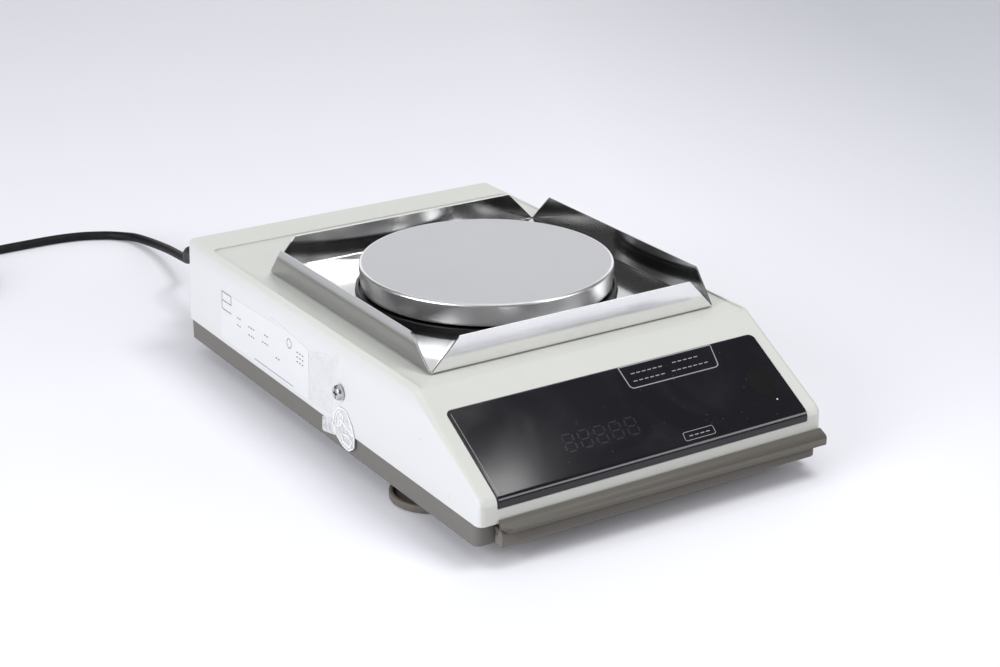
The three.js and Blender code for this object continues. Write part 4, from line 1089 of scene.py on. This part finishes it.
# Printed frames: corners (x, distance down the slope, rounding) and the line's width
FRAME = [(6.6, 16.8, 0.4), (62, 16.8, 0.4), (59, 30.4, 2.4), (6.6, 30.4, 2.4)], 0.55
TAG = [(17.4, 60.4, 1), (35, 60.4, 1), (34.4, 65.4, 1), (16.6, 65.4, 1)], 0.3
DASH_STEP = (3.2, 0, 0)
DIGIT_HEIGHT, DIGIT_WIDTH, DIGIT_STROKE, DIGIT_LEAN = 9.5, 5.6, 0.9, 0.12
DIGIT_STEP, FIRST_DIGIT = (8.7, 0, 0), (-43, -54.3, 0)
# Each row of dashes: x, the distance down the slope, and how many
DASHES = ((11.4, 22, 6), (36, 21.6, 5), (10.4, 26.4, 6), (33, 26.2, 7), (20, 63, 4))


def printed_frame(points, width):
    """A thin printed frame through corners (x, distance down the slope, rounding)."""
    points = [(x, -s, reach) for x, s, reach in points]
    centre = [sum(point[part] for point in points) / len(points) for part in (0, 1)]
    inner = [
        (*(value - math.copysign(width, value - mid) for value, mid in zip(point, centre)),
         max(0.2, point[2] - width))
        for point in points
    ]
    return band(rounded(points, 5), rounded(inner, 5), PRINT_LOW, PRINT_HIGH)


def digit_segments(height, width, stroke, lean):
    """The seven bars of a display digit, flat, with its lower left corner at the origin."""
    half = stroke / 2
    gap = 0.15

    def bar(a, b, level):
        return [(a, level), (a + half, level - half), (b - half, level - half),
                (b, level), (b - half, level + half), (a + half, level + half)]

    bars = [bar(half + gap, width - half - gap, level) for level in (0, height / 2, height)]
    for side in (0, width):
        for low in (0, height / 2):
            upright = bar(low + half + gap, low + height / 2 - half - gap, side)
            bars.append([(x, y) for y, x in upright])
    return [[Vector((x + lean * y, y)) for x, y in bar] for bar in bars]


class BALANCE_OT_window(bpy.types.Operator):
    """Adds the smoked display window with its plain prints, unlit digits
    and a painted highlight line along its left edge
    """

    bl_idname = "balance.window"
    bl_label = "Add display window"

    def execute(self, context):
        piece("display_panel", window_form(0), "window_black", "display_window", soft=(0.35, 3, 40))

        def printed(name, finish, *meshes):
            piece(name, moved(gathered(*meshes), SLOPE_PLACE), finish, slot="window_black")

        frames = [printed_frame(*each) for each in (FRAME, TAG)]
        printed("window_frames", "window_print", *frames)
        rows = []
        for x, s, count in DASHES:
            dash = prism(rectangle(0, 2.3, -0.25, 0.25, 0.2, 2), PRINT_LOW, PRINT_HIGH)
            rows.append(copies(dash, count, DASH_STEP, (x, -s, 0), "window_print"))
        # Painted highlight: a thin light line inside the window's left edge, drawn as print.
        edge = WINDOW_HALF - 1.5
        rows.append(prism(rectangle(-edge, 0.25 - edge, -66, -19), PRINT_LOW, SEGMENT_HIGH))
        printed("window_lines_and_edge_highlight", "window_print", *rows)
        bars = digit_segments(DIGIT_HEIGHT, DIGIT_WIDTH, DIGIT_STROKE, DIGIT_LEAN)
        digit = gathered(*[prism(bar, PRINT_LOW, SEGMENT_HIGH) for bar in bars])
        count = context.scene.balance_sizes.digit_count
        digits = copies(digit, count, DIGIT_STEP, FIRST_DIGIT, "unlit_segment")
        printed("unlit_digits", "unlit_segment", digits)
        printed("matt_disc", "matt_disc", rod(75.1, -44.9, 7.9, PRINT_LOW, PRINT_HIGH, sides=64))
        speck = rod(77.1, -56.4, 0.45, PRINT_LOW, PRINT_HIGH, sides=12)
        printed("window_speck", "label_white", speck)
        return {"FINISHED"}


# Base tray

TRAY_HALF = corners("base_tray")[1].x
BAR_LOW, BAR_HIGH = corners("control_bar")
_, PIN_Y, PIN_Z = middle("pivot_pin_left")
PIN_LOW, PIN_HIGH = corners("pivot_pin_left")
PIN_RIGHT_LOW, PIN_RIGHT_HIGH = corners("pivot_pin_right")
WHEEL_X, WHEEL_Y, _ = middle("levelling_wheel_right")
FOOT_X, FOOT_Y, _ = middle("rear_foot_right")
CASE_X, CASE_Y, _ = middle("case_screw_right")
CASE_HIGH = corners("case_screw_right")[1]
CORE_X, CORE_Y, _ = middle("transformer_core")
STAND = 9
FLOOR_TOP = 11
TRAY_WALL = 2.4
TRAY_FRONT, TRAY_BACK, TRAY_TOP = NOSE_Y + 4.1, BACK_Y - 0.6, SHELL_EDGE - 0.5
# Ledges inside the shell and posts for its side screws: inset of both faces, ends and top
UPRIGHTS = (
    (2.21, 3.6, TRAY_FRONT + TRAY_WALL + 12, TRAY_BACK - TRAY_WALL - 24, 24),
    (3.11, 7.9, SCREW_Y - 6, SCREW_Y + 6, 46),
)
EAR, EAR_INSET = 2.1, 2.3
PLUNGER_Z = 12.5
# Bosses and the holes in them: radius and top
WHEEL_BOSS, CASE_BOSS = (9, 22), (6.4, 13.1)
INSERT_HOLE, CASE_HEAD_HOLE, CASE_HOLE = (5.9, 23), (3.9, 10.9), (2.1, 28)
# Radii of the holes through the floor and the walls
WHEEL_HOLE, FOOT_HOLE, PLUNGER_HOLE, SIDE_HOLE, PIN_HOLE = 4.4, 3.4, 1.05, 2.35, 1.35
VENTS, VENT_HALF, VENT_LENGTH, VENT_STEP = 6, 1.3, 30, (6.4, 0, 0)
VENT_PLACE = (CORE_X - 16, CORE_Y - 34, 0)


class BALANCE_OT_tray(bpy.types.Operator):
    """Adds the base tray with its bosses, ears and vents"""

    bl_idname = "balance.tray"
    bl_label = "Add base tray"

    def execute(self, context):
        front, back, top = TRAY_FRONT, TRAY_BACK, TRAY_TOP
        half, wall = TRAY_HALF, TRAY_WALL
        low, high = FLOOR_TOP - OVERRUN, FLOOR_TOP + OVERRUN
        outer = rectangle(-half, half, front, back, CORNER, 8)
        inner = rectangle(wall - half, half - wall, front + wall, back - wall, CORNER - wall, 8)
        tray = carved(prism(outer, STAND, top), prism(inner, FLOOR_TOP, top + OVERRUN))
        added = []
        holes = []

        def standing(x, y, size, bottom, sides):
            """A rod that stands on a height, from its radius and top."""
            radius, up = size
            return rod(x, y, radius, bottom, up, sides=sides)

        for side in (-1, 1):
            for outside, inside, start, end, up in UPRIGHTS:
                left, right = sorted((side * (half - outside), side * (half - inside)))
                added.append(block(left, right, start, end, low, up))
            wheel, foot, case = side * WHEEL_X, side * FOOT_X, side * CASE_X
            added.append(standing(wheel, WHEEL_Y, WHEEL_BOSS, low, 40))
            added.append(standing(case, CASE_Y, CASE_BOSS, low, 32))
            holes += [
                standing(wheel, WHEEL_Y, INSERT_HOLE, FLOOR_TOP, 40),
                rod(wheel, WHEEL_Y, WHEEL_HOLE, 0, high, sides=40),
                rod(foot, FOOT_Y, FOOT_HOLE, 0, high, sides=24),
                standing(case, CASE_Y, CASE_HEAD_HOLE, 0, 24),
                standing(case, CASE_Y, CASE_HOLE, 0, 24),
            ]
        for left, right in (
            (PIN_LOW.x + EAR_INSET, PIN_HIGH.x), (PIN_RIGHT_LOW.x, PIN_RIGHT_HIGH.x - EAR_INSET),
        ):
            added.append(rod(PIN_Y, PIN_Z, EAR, left, right - SEAT, "x"))
            low_z, high_z = PIN_Z - EAR, PIN_Z + EAR
            added.append(block(left, right - SEAT, PIN_Y, front + OVERRUN, low_z, high_z))
        tray = joined(tray, *added)
        slot = prism(rectangle(-VENT_HALF, VENT_HALF, 0, VENT_LENGTH, VENT_HALF), 0, high)
        slots = copies(slot, VENTS, VENT_STEP, VENT_PLACE)
        holes += [
            rod(0, PLUNGER_Z, PLUNGER_HOLE, front - OVERRUN, front + 2 * wall, "y", 20),
            rod(SCREW_Y, SCREW_Z, SIDE_HOLE, -2 * half, 2 * half, "x", 20),
            rod(PIN_Y, PIN_Z, PIN_HOLE, -half, half, "x", 20),
        ]
        tray = carved(tray, slots, *holes)
        piece("housing_tray", tray, "tray_grey", "base_tray", soft=(0.5, 3, 40))
        return {"FINISHED"}


# Control bar: its sheet, the taper of its front edge, the flange's top and the end plates

BAR_FRONT, BAR_BACK = NOSE_Y - 7.6, NOSE_Y - 0.45
BAR_SHEET, BAR_TAPER, BAR_BORE = 2.4, 1.6, 1.15
FLANGE_BACK, FLANGE_FRONT = 22.4, 18.9
SKIRT_SET, SKIRT_SHEET, END_SHEET, END_SET = 4.9, 2, 2, 0.2


class BALANCE_OT_bar(bpy.types.Operator):
    """Adds the control bar: a flange on a skirt between two end plates"""

    bl_idname = "balance.bar"
    bl_label = "Add control bar"

    def execute(self, context):
        front, back, sheet, taper = BAR_FRONT, BAR_BACK, BAR_SHEET, BAR_TAPER
        left, right = BAR_LOW.x, BAR_HIGH.x
        web_top = FLANGE_BACK - sheet
        flange = prism(rounded([
            (back, FLANGE_BACK, 0.5), (front, FLANGE_FRONT, 1.15),
            (front, FLANGE_FRONT - sheet, 1.15), (back, web_top, 0),
        ]), left, right, "x")
        for point in flange.vertices:
            share = (back - point.co.y) / (back - front)
            point.co.y -= taper * share * point.co.x / TOP_HALF
        plan = rounded([
            (left, front + taper, 5), (right, front - taper, 5),
            (right, back, 0.3), (left, back, 0.3),
        ], 8)
        flange = softened(carved(flange, prism(plan, 0, 40), operation="INTERSECT"), 0.35, 2, 50)
        skirt_left, skirt_right = left + 0.4, PIN_RIGHT_HIGH.x
        skirt_front = front + SKIRT_SET
        skirt_back = skirt_front + SKIRT_SHEET
        skirt = rounded([
            (skirt_front, STAND, 0.7), (skirt_back, STAND, 0.7), (skirt_back, web_top, 0),
            (skirt_front, web_top, 0),
        ], 4)
        skirt = prism(skirt, skirt_left + 1, skirt_right - 1, "x")
        # The end plates are set back a little, so that no two faces lie in one plane.
        low, high, end_front = STAND + END_SET, web_top - END_SET, skirt_front + END_SET
        end_back, under = PIN_Y + 1, FLANGE_FRONT - sheet / 2
        end_view = rounded([
            (end_front, low, 0.7), (end_back, low, 0.7), (end_back, under, 0.7),
            (back, under, 0), (back, high, 0), (end_front, high, 0),
        ], 4)
        ends = [
            prism(end_view, x, x + END_SHEET, "x") for x in (skirt_left, skirt_right - END_SHEET)
        ]
        rib = block(-3, 3, skirt_front + 0.5, NOSE_Y + 3.2, 11.3, 13.7)
        bar = joined(flange, skirt, *ends, rib)
        bar = carved(bar, rod(PIN_Y, PIN_Z, BAR_BORE, left, right, "x", 24))
        softness = (0.2, 2, 45)
        piece("control_rail", bar, "bar_taupe", "control_bar", body="control_bar", soft=softness)
        return {"FINISHED"}


# Feet

THREAD_LOW, THREAD_TURNS = 11.3, 18


class BALANCE_OT_feet(bpy.types.Operator):
    """Adds the levelling feet, their thread inserts and the rear feet"""

    bl_idname = "balance.feet"
    bl_label = "Add feet"

    def execute(self, context):
        threads = []
        for turn in range(THREAD_TURNS):
            threads += [(4.0, THREAD_LOW + turn), (3.55, THREAD_LOW + turn + 0.5)]
        for side, x in (("left", -WHEEL_X), ("right", WHEEL_X)):
            wheel = rounded([
                (0, 1.5), (13.3, 1.5), (13.3, 0.5, 0.3), (20, 0.5, 0.9), (20, 4.3, 0.9),
                (17.8, 4.3, 0.5), (17, 2.7, 0.6), (8, 2.7, 0.3), (8, 4.3, 0.6), (4, 4.3, 0.2),
            ], 4)
            wheel = turned([*wheel, *threads, (3.9, 29), (2, 31), (0, 31)], 96, (x, WHEEL_Y))
            piece(
                f"levelling_foot_{side}", wheel, "foot_brown", f"levelling_wheel_{side}",
                body=f"wheel_{side}", soft=(0, 2, 32, 35),
            )
            pad = rounded([(0, 0), (13, 0, 0.3), (13, 1.2, 0.4), (0, 1.2)], 3)
            pad = turned(pad, 64, (x, WHEEL_Y))
            piece(f"glide_{side}", pad, "rubber_black", f"glide_pad_{side}", body=f"glide_{side}")
        low, high = THREAD_LOW, 22
        insert = rounded([(4.1, low, 0.2), (5.5, low, 0.2), (5.5, high, 0.3), (4.1, high, 0.3)], 3)
        insert = carved(turned(insert, 64), ring_of(prism(circle(5.9, 0, 0.55, 10), 12, 21), 24))
        inserts = copies(insert, 2, (2 * WHEEL_X, 0, 0), (-WHEEL_X, WHEEL_Y, 0), "brass")
        piece("foot_inserts", inserts, "brass", "thread_insert_left", "thread_insert_right")
        foot = turned(rounded([
            (0, 0), (8.8, 0, 0.8), (10, 8.7, 0.4), (3, 8.7), (3, 13.2), (2.6, 14, 0.2), (0, 14),
        ], 4), 64)
        foot = carved(foot, ring_of(prism(circle(10.5, 0, 0.9, 12), 1.5, 7.4), 20))
        feet = copies(foot, 2, (2 * FOOT_X, 0, 0), (-FOOT_X, FOOT_Y, 0), "rubber_black")
        piece("rear_feet", feet, "rubber_black", "rear_foot_left", "rear_foot_right")
        return {"FINISHED"}


# Screws


class BALANCE_OT_screws(bpy.types.Operator):
    """Adds the side screws and the case screws"""

    bl_idname = "balance.screws"
    bl_label = "Add screws"

    def execute(self, context):
        head_height = 2.8
        head = turned(rounded([
            (0, -9), (1.7, -9), (2, -8.6), (2, 0), (4, 0, 0.15), (4, 1.3, 0.3),
            (3.2, head_height, 0.5), (0, head_height),
        ], 4), 48)
        cross = [block(-5, 5, -0.5, 0.5, 1.4, 4), block(-0.5, 0.5, -2.2, 2.2, 1.2, 4)]
        head = softened(carved(head, *cross), 0.08, 1)
        place = Matrix.Translation((SCREW_HIGH.x - head_height, 0, SCREW_Z))
        head = moved(head, place @ Matrix.Rotation(math.pi / 2, 4, "Y"))
        screws = ring_of(head, 2, (0, SCREW_Y, 0), "stainless_screw")
        piece("side_screws", screws, "stainless_screw", "side_screw_left", "side_screw_right")
        tip = CASE_HIGH.z
        case = turned(rounded([
            (0, 9), (3.3, 9, 0.3), (3.5, 9.4), (3.5, 10.6, 0.1), (1.75, 10.6), (1.75, tip),
            (0, tip),
        ], 3), 40)
        case = carved(case, block(-4, 4, -0.5, 0.5, 8, 9.8))
        case = moved(case, Matrix.Translation((CASE_X, 0, 0)))
        cases = ring_of(case, 2, (0, CASE_Y, 0), "steel")
        piece("case_screws", cases, "steel", "case_screw_left", "case_screw_right")
        return {"FINISHED"}


# Pan, its collar and its support


def dressed(node, name, finish, edge, body="housing", segments=2):
    """A piece that keeps the form of a CAD node, with its edges rounded."""
    piece(name, welded_copy(node), finish, node, body=body, soft=(edge, segments, 40))


class BALANCE_OT_pan(bpy.types.Operator):
    """Adds the weighing pan, its support and the collar round it"""

    bl_idname = "balance.pan"
    bl_label = "Add weighing pan"

    def execute(self, context):
        top, foot = PAN_HIGH.z, PAN_LOW.z
        under = top - 1.2
        pan = rounded([
            (0, under), (45.3, under), (45.3, under - 2, 0.3), (46.5, under - 2, 0.3),
            (46.5, under),
            (63.8, under, 0.8), (62.9, foot, 0.25), (64.1, foot, 0.25), (65, top, 1.5), (0, top),
        ])
        pan = turned(pan, 192, (0, PAN_Y))
        piece("weighing_dish", pan, "stainless_pan", "weighing_pan", body="pan")
        low, high = (corner.z for corner in corners("pan_collar"))
        collar = rounded([
            (17, low), (66.6, low, 0.2), (66.6, high, 0.35), (65, high, 0.35), (65, low + 1.1, 0.3),
            (18.6, low + 1.1, 0.2), (18.6, low + 1.9, 0.3), (17, low + 1.9, 0.3),
        ], 4)
        piece("collar_ring", turned(collar, 160, (0, PAN_Y)), "black_plastic", "pan_collar")
        dressed("pan_support", "support_disc", "cast_aluminium", 0.3, "hanger")
        return {"FINISHED"}


# Draft shield

SHIELD_HALF = 82
FOLD_RADIUS = 1.6
WALL_RISE, WALL_LEAN, WALL_CUT = 16.6, 1.1, 15.75


def shield_wall(bottom, steps=8):
    """The outer surface of one wall and its quarter of the plate, as rows of points."""
    half, bend = SHIELD_HALF, FOLD_RADIUS
    hole = (66.6 + SEAT) / math.cos(math.pi / 96)
    count = 24
    inner = half - bend
    angles = [(step / count - 0.5) * math.pi / 2 for step in range(count + 1)]
    spans = [math.tan(angle) for angle in angles]
    rows = []
    for share in (0, 0.5, 1):
        row = []
        for angle in angles:
            ring = Vector((hole * math.cos(angle), hole * math.sin(angle)))
            edge = Vector((inner, inner * math.tan(angle)))
            row.append((*ring.lerp(edge, share), bottom))
        rows.append(row)
    for step in range(1, steps + 1):
        angle = step / steps * math.pi / 2
        out = inner + bend * math.sin(angle)
        up = bend * (1 - math.cos(angle))
        wide = min(out, half - up)
        rows.append([(out, wide * span, bottom + up) for span in spans])
    for share in (0.25, 0.5, 0.75, 1):
        up = bend + (WALL_RISE - bend) * share
        out = half + WALL_LEAN * (up - bend) / (WALL_RISE - bend)
        wide = half - bend - (WALL_CUT - bend) * share
        rows.append([(out, wide * span, bottom + up) for span in spans])
    return rows


class BALANCE_OT_shield(bpy.types.Operator):
    """Adds the draft shield: one sheet with four folded walls"""

    bl_idname = "balance.shield"
    bl_label = "Add draft shield"

    def execute(self, context):
        form = bmesh.new()
        rows = shield_wall(corners("draft_shield")[0].z)
        grid = [[form.verts.new(place) for place in row] for row in rows]
        for one, two in zip(grid, grid[1:]):
            for index in range(len(one) - 1):
                form.faces.new((one[index], one[index + 1], two[index + 1], two[index]))
        whole = ring_of(mesh_of(form), 4, (0, PAN_Y, 0), "stainless_brushed")
        form = bmesh.new()
        form.from_mesh(whole)
        bmesh.ops.remove_doubles(form, verts=form.verts, dist=0.01)
        bmesh.ops.recalc_face_normals(form, faces=form.faces)
        plate = min(form.faces, key=lambda face: face.calc_center_median().z)
        if plate.normal.z > 0:
            bmesh.ops.reverse_faces(form, faces=form.faces)
        form.to_mesh(whole)
        form.free()
        whole.materials.clear()
        finishes = ("stainless_brushed", "stainless_bright")
        for finish in finishes:
            whole.materials.append(FINISHES[finish])
        tray = evaluated(
            whole, "SOLIDIFY", thickness=context.scene.balance_sizes.sheet_thickness / MM,
            offset=-1, use_even_offset=True, material_offset=1, material_offset_rim=0,
            use_quality_normals=True,
        )
        piece("shield_tray", tray, finishes, "draft_shield", body="shield", soft=(0.12, 1, 50, 50))
        return {"FINISHED"}


# Labels, film and seal on the left side, placed by (distance behind the nose, height)

LEFT_PLACE = side_plane(-1) @ Matrix.Translation((NOSE_Y, 0, 0))
FIRST_LABEL = [
    (261.2, 49.4, 1), (261.4, 22.6, 1), (175.3, 22.6, 1), (176.3, 33, 3), (183.3, 42, 3),
    (191, 51, 1),
]
SECOND_LABEL = [
    (202, 53.5, 1), (191, 50.7, 1), (177.5, 33.5, 1), (175.6, 22.7, 0.5), (160.2, 22.9, 1),
    (160.6, 49.3, 3),
]
FILM = [(160.4, 23, 1), (160.4, 49.4, 2), (130, 56.5, 1), (134, 40, 4), (136, 24, 2)]
RULES = (
    (248.4, 260, 49, 49.4), (248.4, 260, 44.2, 44.6), (248.4, 260, 39.4, 39.8),
    (259.6, 260, 39.4, 49.4), (248.4, 248.8, 44.2, 49.4), (205.3, 221.3, 23.8, 24.1),
    (177.3, 205.3, 23.8, 24.1),
)
# Each row of dashes: place, height, lift, step and how many
LABEL_DASHES = (
    (237.3, 40, 0, 2.6, 2), (237.3, 36, 0, 2.6, 2), (221.3, 39.5, 0, 2.6, 3),
    (221.3, 35, 0, 2.6, 3), (205.3, 41, 0, 2.6, 2), (205.3, 36.5, 0, 2.6, 3),
    (192.3, 33, 0, 2.6, 2),
    (166, 44, 0.02, 2.9, 3), (166, 41.5, 0.02, 2.9, 3), (166, 39, 0.02, 2.9, 3),
)
SEAL = [
    (128.5, 31.2), (132.9, 26.2), (134.4, 20.3), (130.4, 15.2), (123.3, 12),
    (117.7, 11.5), (112.5, 14.8), (112.3, 20.1), (115.4, 26.2), (121, 31.6),
]
SEAL_TAB = [(145.6, 20, 1), (145.8, 12, 2), (132, 14.6, 1), (130.5, 23, 1)]
UPPER_CREASE = [(129, 28.9), (132.1, 23.8), (130.5, 19.8), (125.4, 22.4), (123.4, 27.7)]
LOWER_CREASE = [(126.4, 18), (123.3, 13.9), (117, 13.5), (114.3, 17.4), (119.6, 19.3)]
CROSS_CREASE = [(114, 21, 0.2), (113.6, 20.4, 0.2), (127, 24.6, 0.2), (126.6, 25.2, 0.2)]


def crease(points, width, low, high):
    """A raised loop through points."""
    centre = sum((Vector(point) for point in points), Vector((0, 0))) / len(points)
    outlines = []
    for inset in (0, width):
        ways = [Vector(point) - centre for point in points]
        ring = [(*(centre + way * (1 - inset / way.length)), 1.2) for way in ways]
        outlines.append(rounded(ring, 4))
    return band(*outlines, low, high)


class BALANCE_OT_labels(bpy.types.Operator):
    """Adds the bare labels, the film and the seal on the left side"""

    bl_idname = "balance.labels"
    bl_label = "Add labels"

    def execute(self, context):
        def stuck(name, finish, *meshes, soft=()):
            piece(name, moved(gathered(*meshes), LEFT_PLACE), finish, soft=soft)

        first, second = shaped(FIRST_LABEL, 0, 0.12), shaped(SECOND_LABEL, 0.02, 0.16)
        stuck("side_labels", "label_white", first, second, soft=(0.03, 1))
        stuck("side_film", "clear_film", shaped(FILM, 0.05, 0.1))
        lines = [prism(rectangle(*edges), 0.1, 0.18) for edges in RULES]
        for y, z, lift, step, count in LABEL_DASHES:
            dash = prism(rectangle(0, 1.6, -0.25, 0.25, 0.1, 2), 0.1, 0.19)
            lines.append(copies(dash, count, (step, 0, 0), (y, z, lift), "label_ink"))
        lines.append(band(circle(181.5, 45.7, 2.6, 40), circle(181.5, 45.7, 2.25, 40), 0.1, 0.2))
        stuck("label_lines", "label_ink", *lines)
        sheet = shaped([(*point, 1.2) for point in SEAL], 0.1, 0.4)
        stuck("seal_film", "seal_film", sheet, shaped(SEAL_TAB, 0.1, 0.25))
        # Painted glints: white loops along the seal's edge and folds; the folds are real, the white
        # is painted highlight.
        loops = (SEAL, UPPER_CREASE, LOWER_CREASE)
        creases = [crease(points, 0.5, 0.2, 0.7) for points in loops]
        stuck("creased_seal_glints", "seal_crease", *creases, shaped(CROSS_CREASE, 0.2, 0.6, 2))
        return {"FINISHED"}


# Rear panel, inlet and fuse


class BALANCE_OT_rear(bpy.types.Operator):
    """Adds the rear panel with the mains inlet and the fuse carrier"""

    bl_idname = "balance.rear"
    bl_label = "Add rear panel"

    def execute(self, context):
        dressed("rear_panel", "back_plate", "steel", 0.2)
        dressed("mains_inlet", "inlet_socket", "black_plastic", 0.35, segments=3)
        node = "fuse_carrier"
        low, high = corners(node)
        x, _, z = middle(node)
        cap = high.y - low.y
        body = turned(rounded([
            (0, 0), (6, 0, 0.6), (6, cap - 3), (7.5, cap - 3, 0.3), (7.5, cap, 0.7), (0, cap),
        ], 4), 64)
        notches = ring_of(prism(circle(7.9, 0, 0.6, 10), cap - 2.4, cap + 1), 20)
        body = carved(body, notches, block(-4.5, 4.5, -0.7, 0.7, cap - 1.1, cap + 1))
        body = moved(body, Matrix.Translation((x, low.y, z)) @ UPRIGHT_TO_Y)
        piece("fuse_cap", body, "black_plastic", node, body=node, soft=(0.1, 1, 40))
        return {"FINISHED"}


# Works inside the housing: finish, how far the edges are rounded, and the body if it moves

WORKS = {
    "bar_switch": ("black_plastic", 0.3),
    "switch_plunger": ("steel", 0.15, "switch_plunger"),
    "pivot_pin_left": ("steel", 0.15),
    "pivot_pin_right": ("steel", 0.15),
    "pan_hanger": ("cast_aluminium", 0.4, "hanger"),
    "upper_guide": ("steel", 0.2, "upper_guide"),
    "lower_guide": ("steel", 0.2, "lower_guide"),
    "cell_frame": ("cast_aluminium", 0.5),
    "lever_beam": ("cast_aluminium", 0.3, "lever"),
    "force_coil": ("winding_copper", 0.15, "lever"),
    "magnet_pot": ("core_steel", 0.3),
    "position_sensor": ("black_plastic", 0.25),
    "display_board": ("board_green", 0.1),
    "display_tube": ("tube_glass", 0.5),
    "main_board": ("board_green", 0.1),
    "heat_sink": ("cast_aluminium", 0.2),
    "filter_capacitor": ("core_steel", 0.3),
    "transformer_core": ("core_steel", 0.3),
    "transformer_winding": ("winding_copper", 0.4),
}


class BALANCE_OT_works(bpy.types.Operator):
    """Finishes the works inside the housing"""

    bl_idname = "balance.works"
    bl_label = "Finish inner works"

    def execute(self, context):
        for node, look in WORKS.items():
            dressed(node, f"{node}_part", *look)
        return {"FINISHED"}


# Stage, in millimetres

FLOOR_HALF = 20000
# Each lamp: name, place, what it faces, width and height, how bright its face looks, tint.
LAMPS = (
    ("overhead_lamp", (-170, 0, 1300), (-170, 0, 0), (1500, 1800), 0.45, (1, 1, 1)),
    ("window_lamp", (380, -390, 1300), (380, -390, 0), (540, 520), 6.5, (1, 1, 1)),
    ("front_lamp", (800, -1200, 600), (0, 0, 50), (800, 500), 3.8, (1, 1, 1)),
    ("left_lamp", (-2000, -200, 900), (0, 0, 300), (1500, 1400), 4.4, (0.97, 0.98, 1)),
    ("back_wall", (1250, 2000, 900), (0, 0, 500), (3200, 1600), 0.85, (0.97, 0.98, 1)),
)


class BALANCE_OT_stage(bpy.types.Operator):
    """Adds the pale floor, the soft lamps and the white surroundings"""

    bl_idname = "balance.stage"
    bl_label = "Add stage"

    def execute(self, context):
        mesh = prism(centred(0, 0, FLOOR_HALF, FLOOR_HALF), -20, -0.05)
        mesh.transform(Matrix.Scale(MM, 4))
        finish = Finish("pale_floor")
        x, y, _ = finish.parts()
        # Painted shade: the floor is painted a darker grey towards the right.
        painted_floor_shade = ((x - y * 0.45 - 0.15) / 0.35).within()
        pale = finish.mix(finish.noise(1.5, 2), rgb(236, 236, 241), rgb(233, 233, 239))
        finish.set(
            Base_Color=finish.mix(painted_floor_shade, pale, rgb(209, 210, 216)),
            Roughness=0.9,
            Specular_IOR_Level=0.1,
        )
        mesh.materials.append(finish.material)
        linked("floor", mesh)

        world = bpy.data.worlds.new("surroundings")
        context.scene.world = world
        world.use_nodes = True
        tree = world.node_tree
        tree.nodes.clear()
        path = tree.nodes.new("ShaderNodeLightPath")

        def light(colour, strength):
            background = tree.nodes.new("ShaderNodeBackground")
            background.inputs["Color"].default_value = colour
            background.inputs["Strength"].default_value = strength
            return background.outputs[0]

        def either(ray, other, seen):
            mix = tree.nodes.new("ShaderNodeMixShader")
            for socket, source in enumerate((path.outputs[ray], other, seen)):
                tree.links.new(source, mix.inputs[socket])
            return mix.outputs[0]

        soft, dim = light((0.96, 0.97, 1.0, 1), 0.32), light((1, 1, 1, 1), 0.15)
        white = light(rgb(245, 245, 250), 1.0)
        shown = either("Is Camera Ray", either("Is Glossy Ray", soft, dim), white)
        shown = either("Is Transmission Ray", shown, white)
        output = tree.nodes.new("ShaderNodeOutputWorld")
        tree.links.new(shown, output.inputs[0])

        for name, place, target, size, radiance, tint in LAMPS:
            data = bpy.data.lights.new(name, "AREA")
            data.shape = "RECTANGLE"
            data.size, data.size_y = size[0] * MM, size[1] * MM
            data.energy = 4 * data.size * data.size_y * radiance
            data.color = tint
            lamp = linked(name, data)
            lamp.location = Vector(place) * MM
            way = Vector(target) - Vector(place)
            lamp.rotation_euler = way.to_track_quat("-Z", "Y").to_euler()
        return {"FINISHED"}


class BALANCE_PT_panel(bpy.types.Panel):
    """The steps that build the balance, in their order"""

    bl_idname = "BALANCE_PT_panel"
    bl_label = "Precision Balance"
    bl_space_type = "VIEW_3D"
    bl_region_type = "UI"
    bl_category = "Balance"

    def draw(self, context):
        for step in STEPS:
            self.layout.operator(step.bl_idname)
        for group in (context.scene.balance_sizes, context.scene.balance_colours):
            for name in group.__annotations__:
                self.layout.prop(group, name)


STEPS = (
    BALANCE_OT_camera,
    BALANCE_OT_lead,
    BALANCE_OT_shell,
    BALANCE_OT_window,
    BALANCE_OT_tray,
    BALANCE_OT_bar,
    BALANCE_OT_feet,
    BALANCE_OT_screws,
    BALANCE_OT_pan,
    BALANCE_OT_shield,
    BALANCE_OT_labels,
    BALANCE_OT_rear,
    BALANCE_OT_works,
    BALANCE_OT_stage,
)
CLASSES = (BALANCE_PG_sizes, BALANCE_PG_colours, *STEPS, BALANCE_PT_panel)


def register():
    for each in CLASSES:
        bpy.utils.register_class(each)
    bpy.types.Scene.balance_sizes = PointerProperty(type=BALANCE_PG_sizes)
    bpy.types.Scene.balance_colours = PointerProperty(type=BALANCE_PG_colours)


def unregister():
    del bpy.types.Scene.balance_sizes
    del bpy.types.Scene.balance_colours
    for each in reversed(CLASSES):
        bpy.utils.unregister_class(each)


def main():
    register()
    make_finishes(bpy.context.scene.balance_colours)
    for step in STEPS:
        group, name = step.bl_idname.split(".")
        getattr(getattr(bpy.ops, group), name)()


if __name__ == "__main__":
    main()
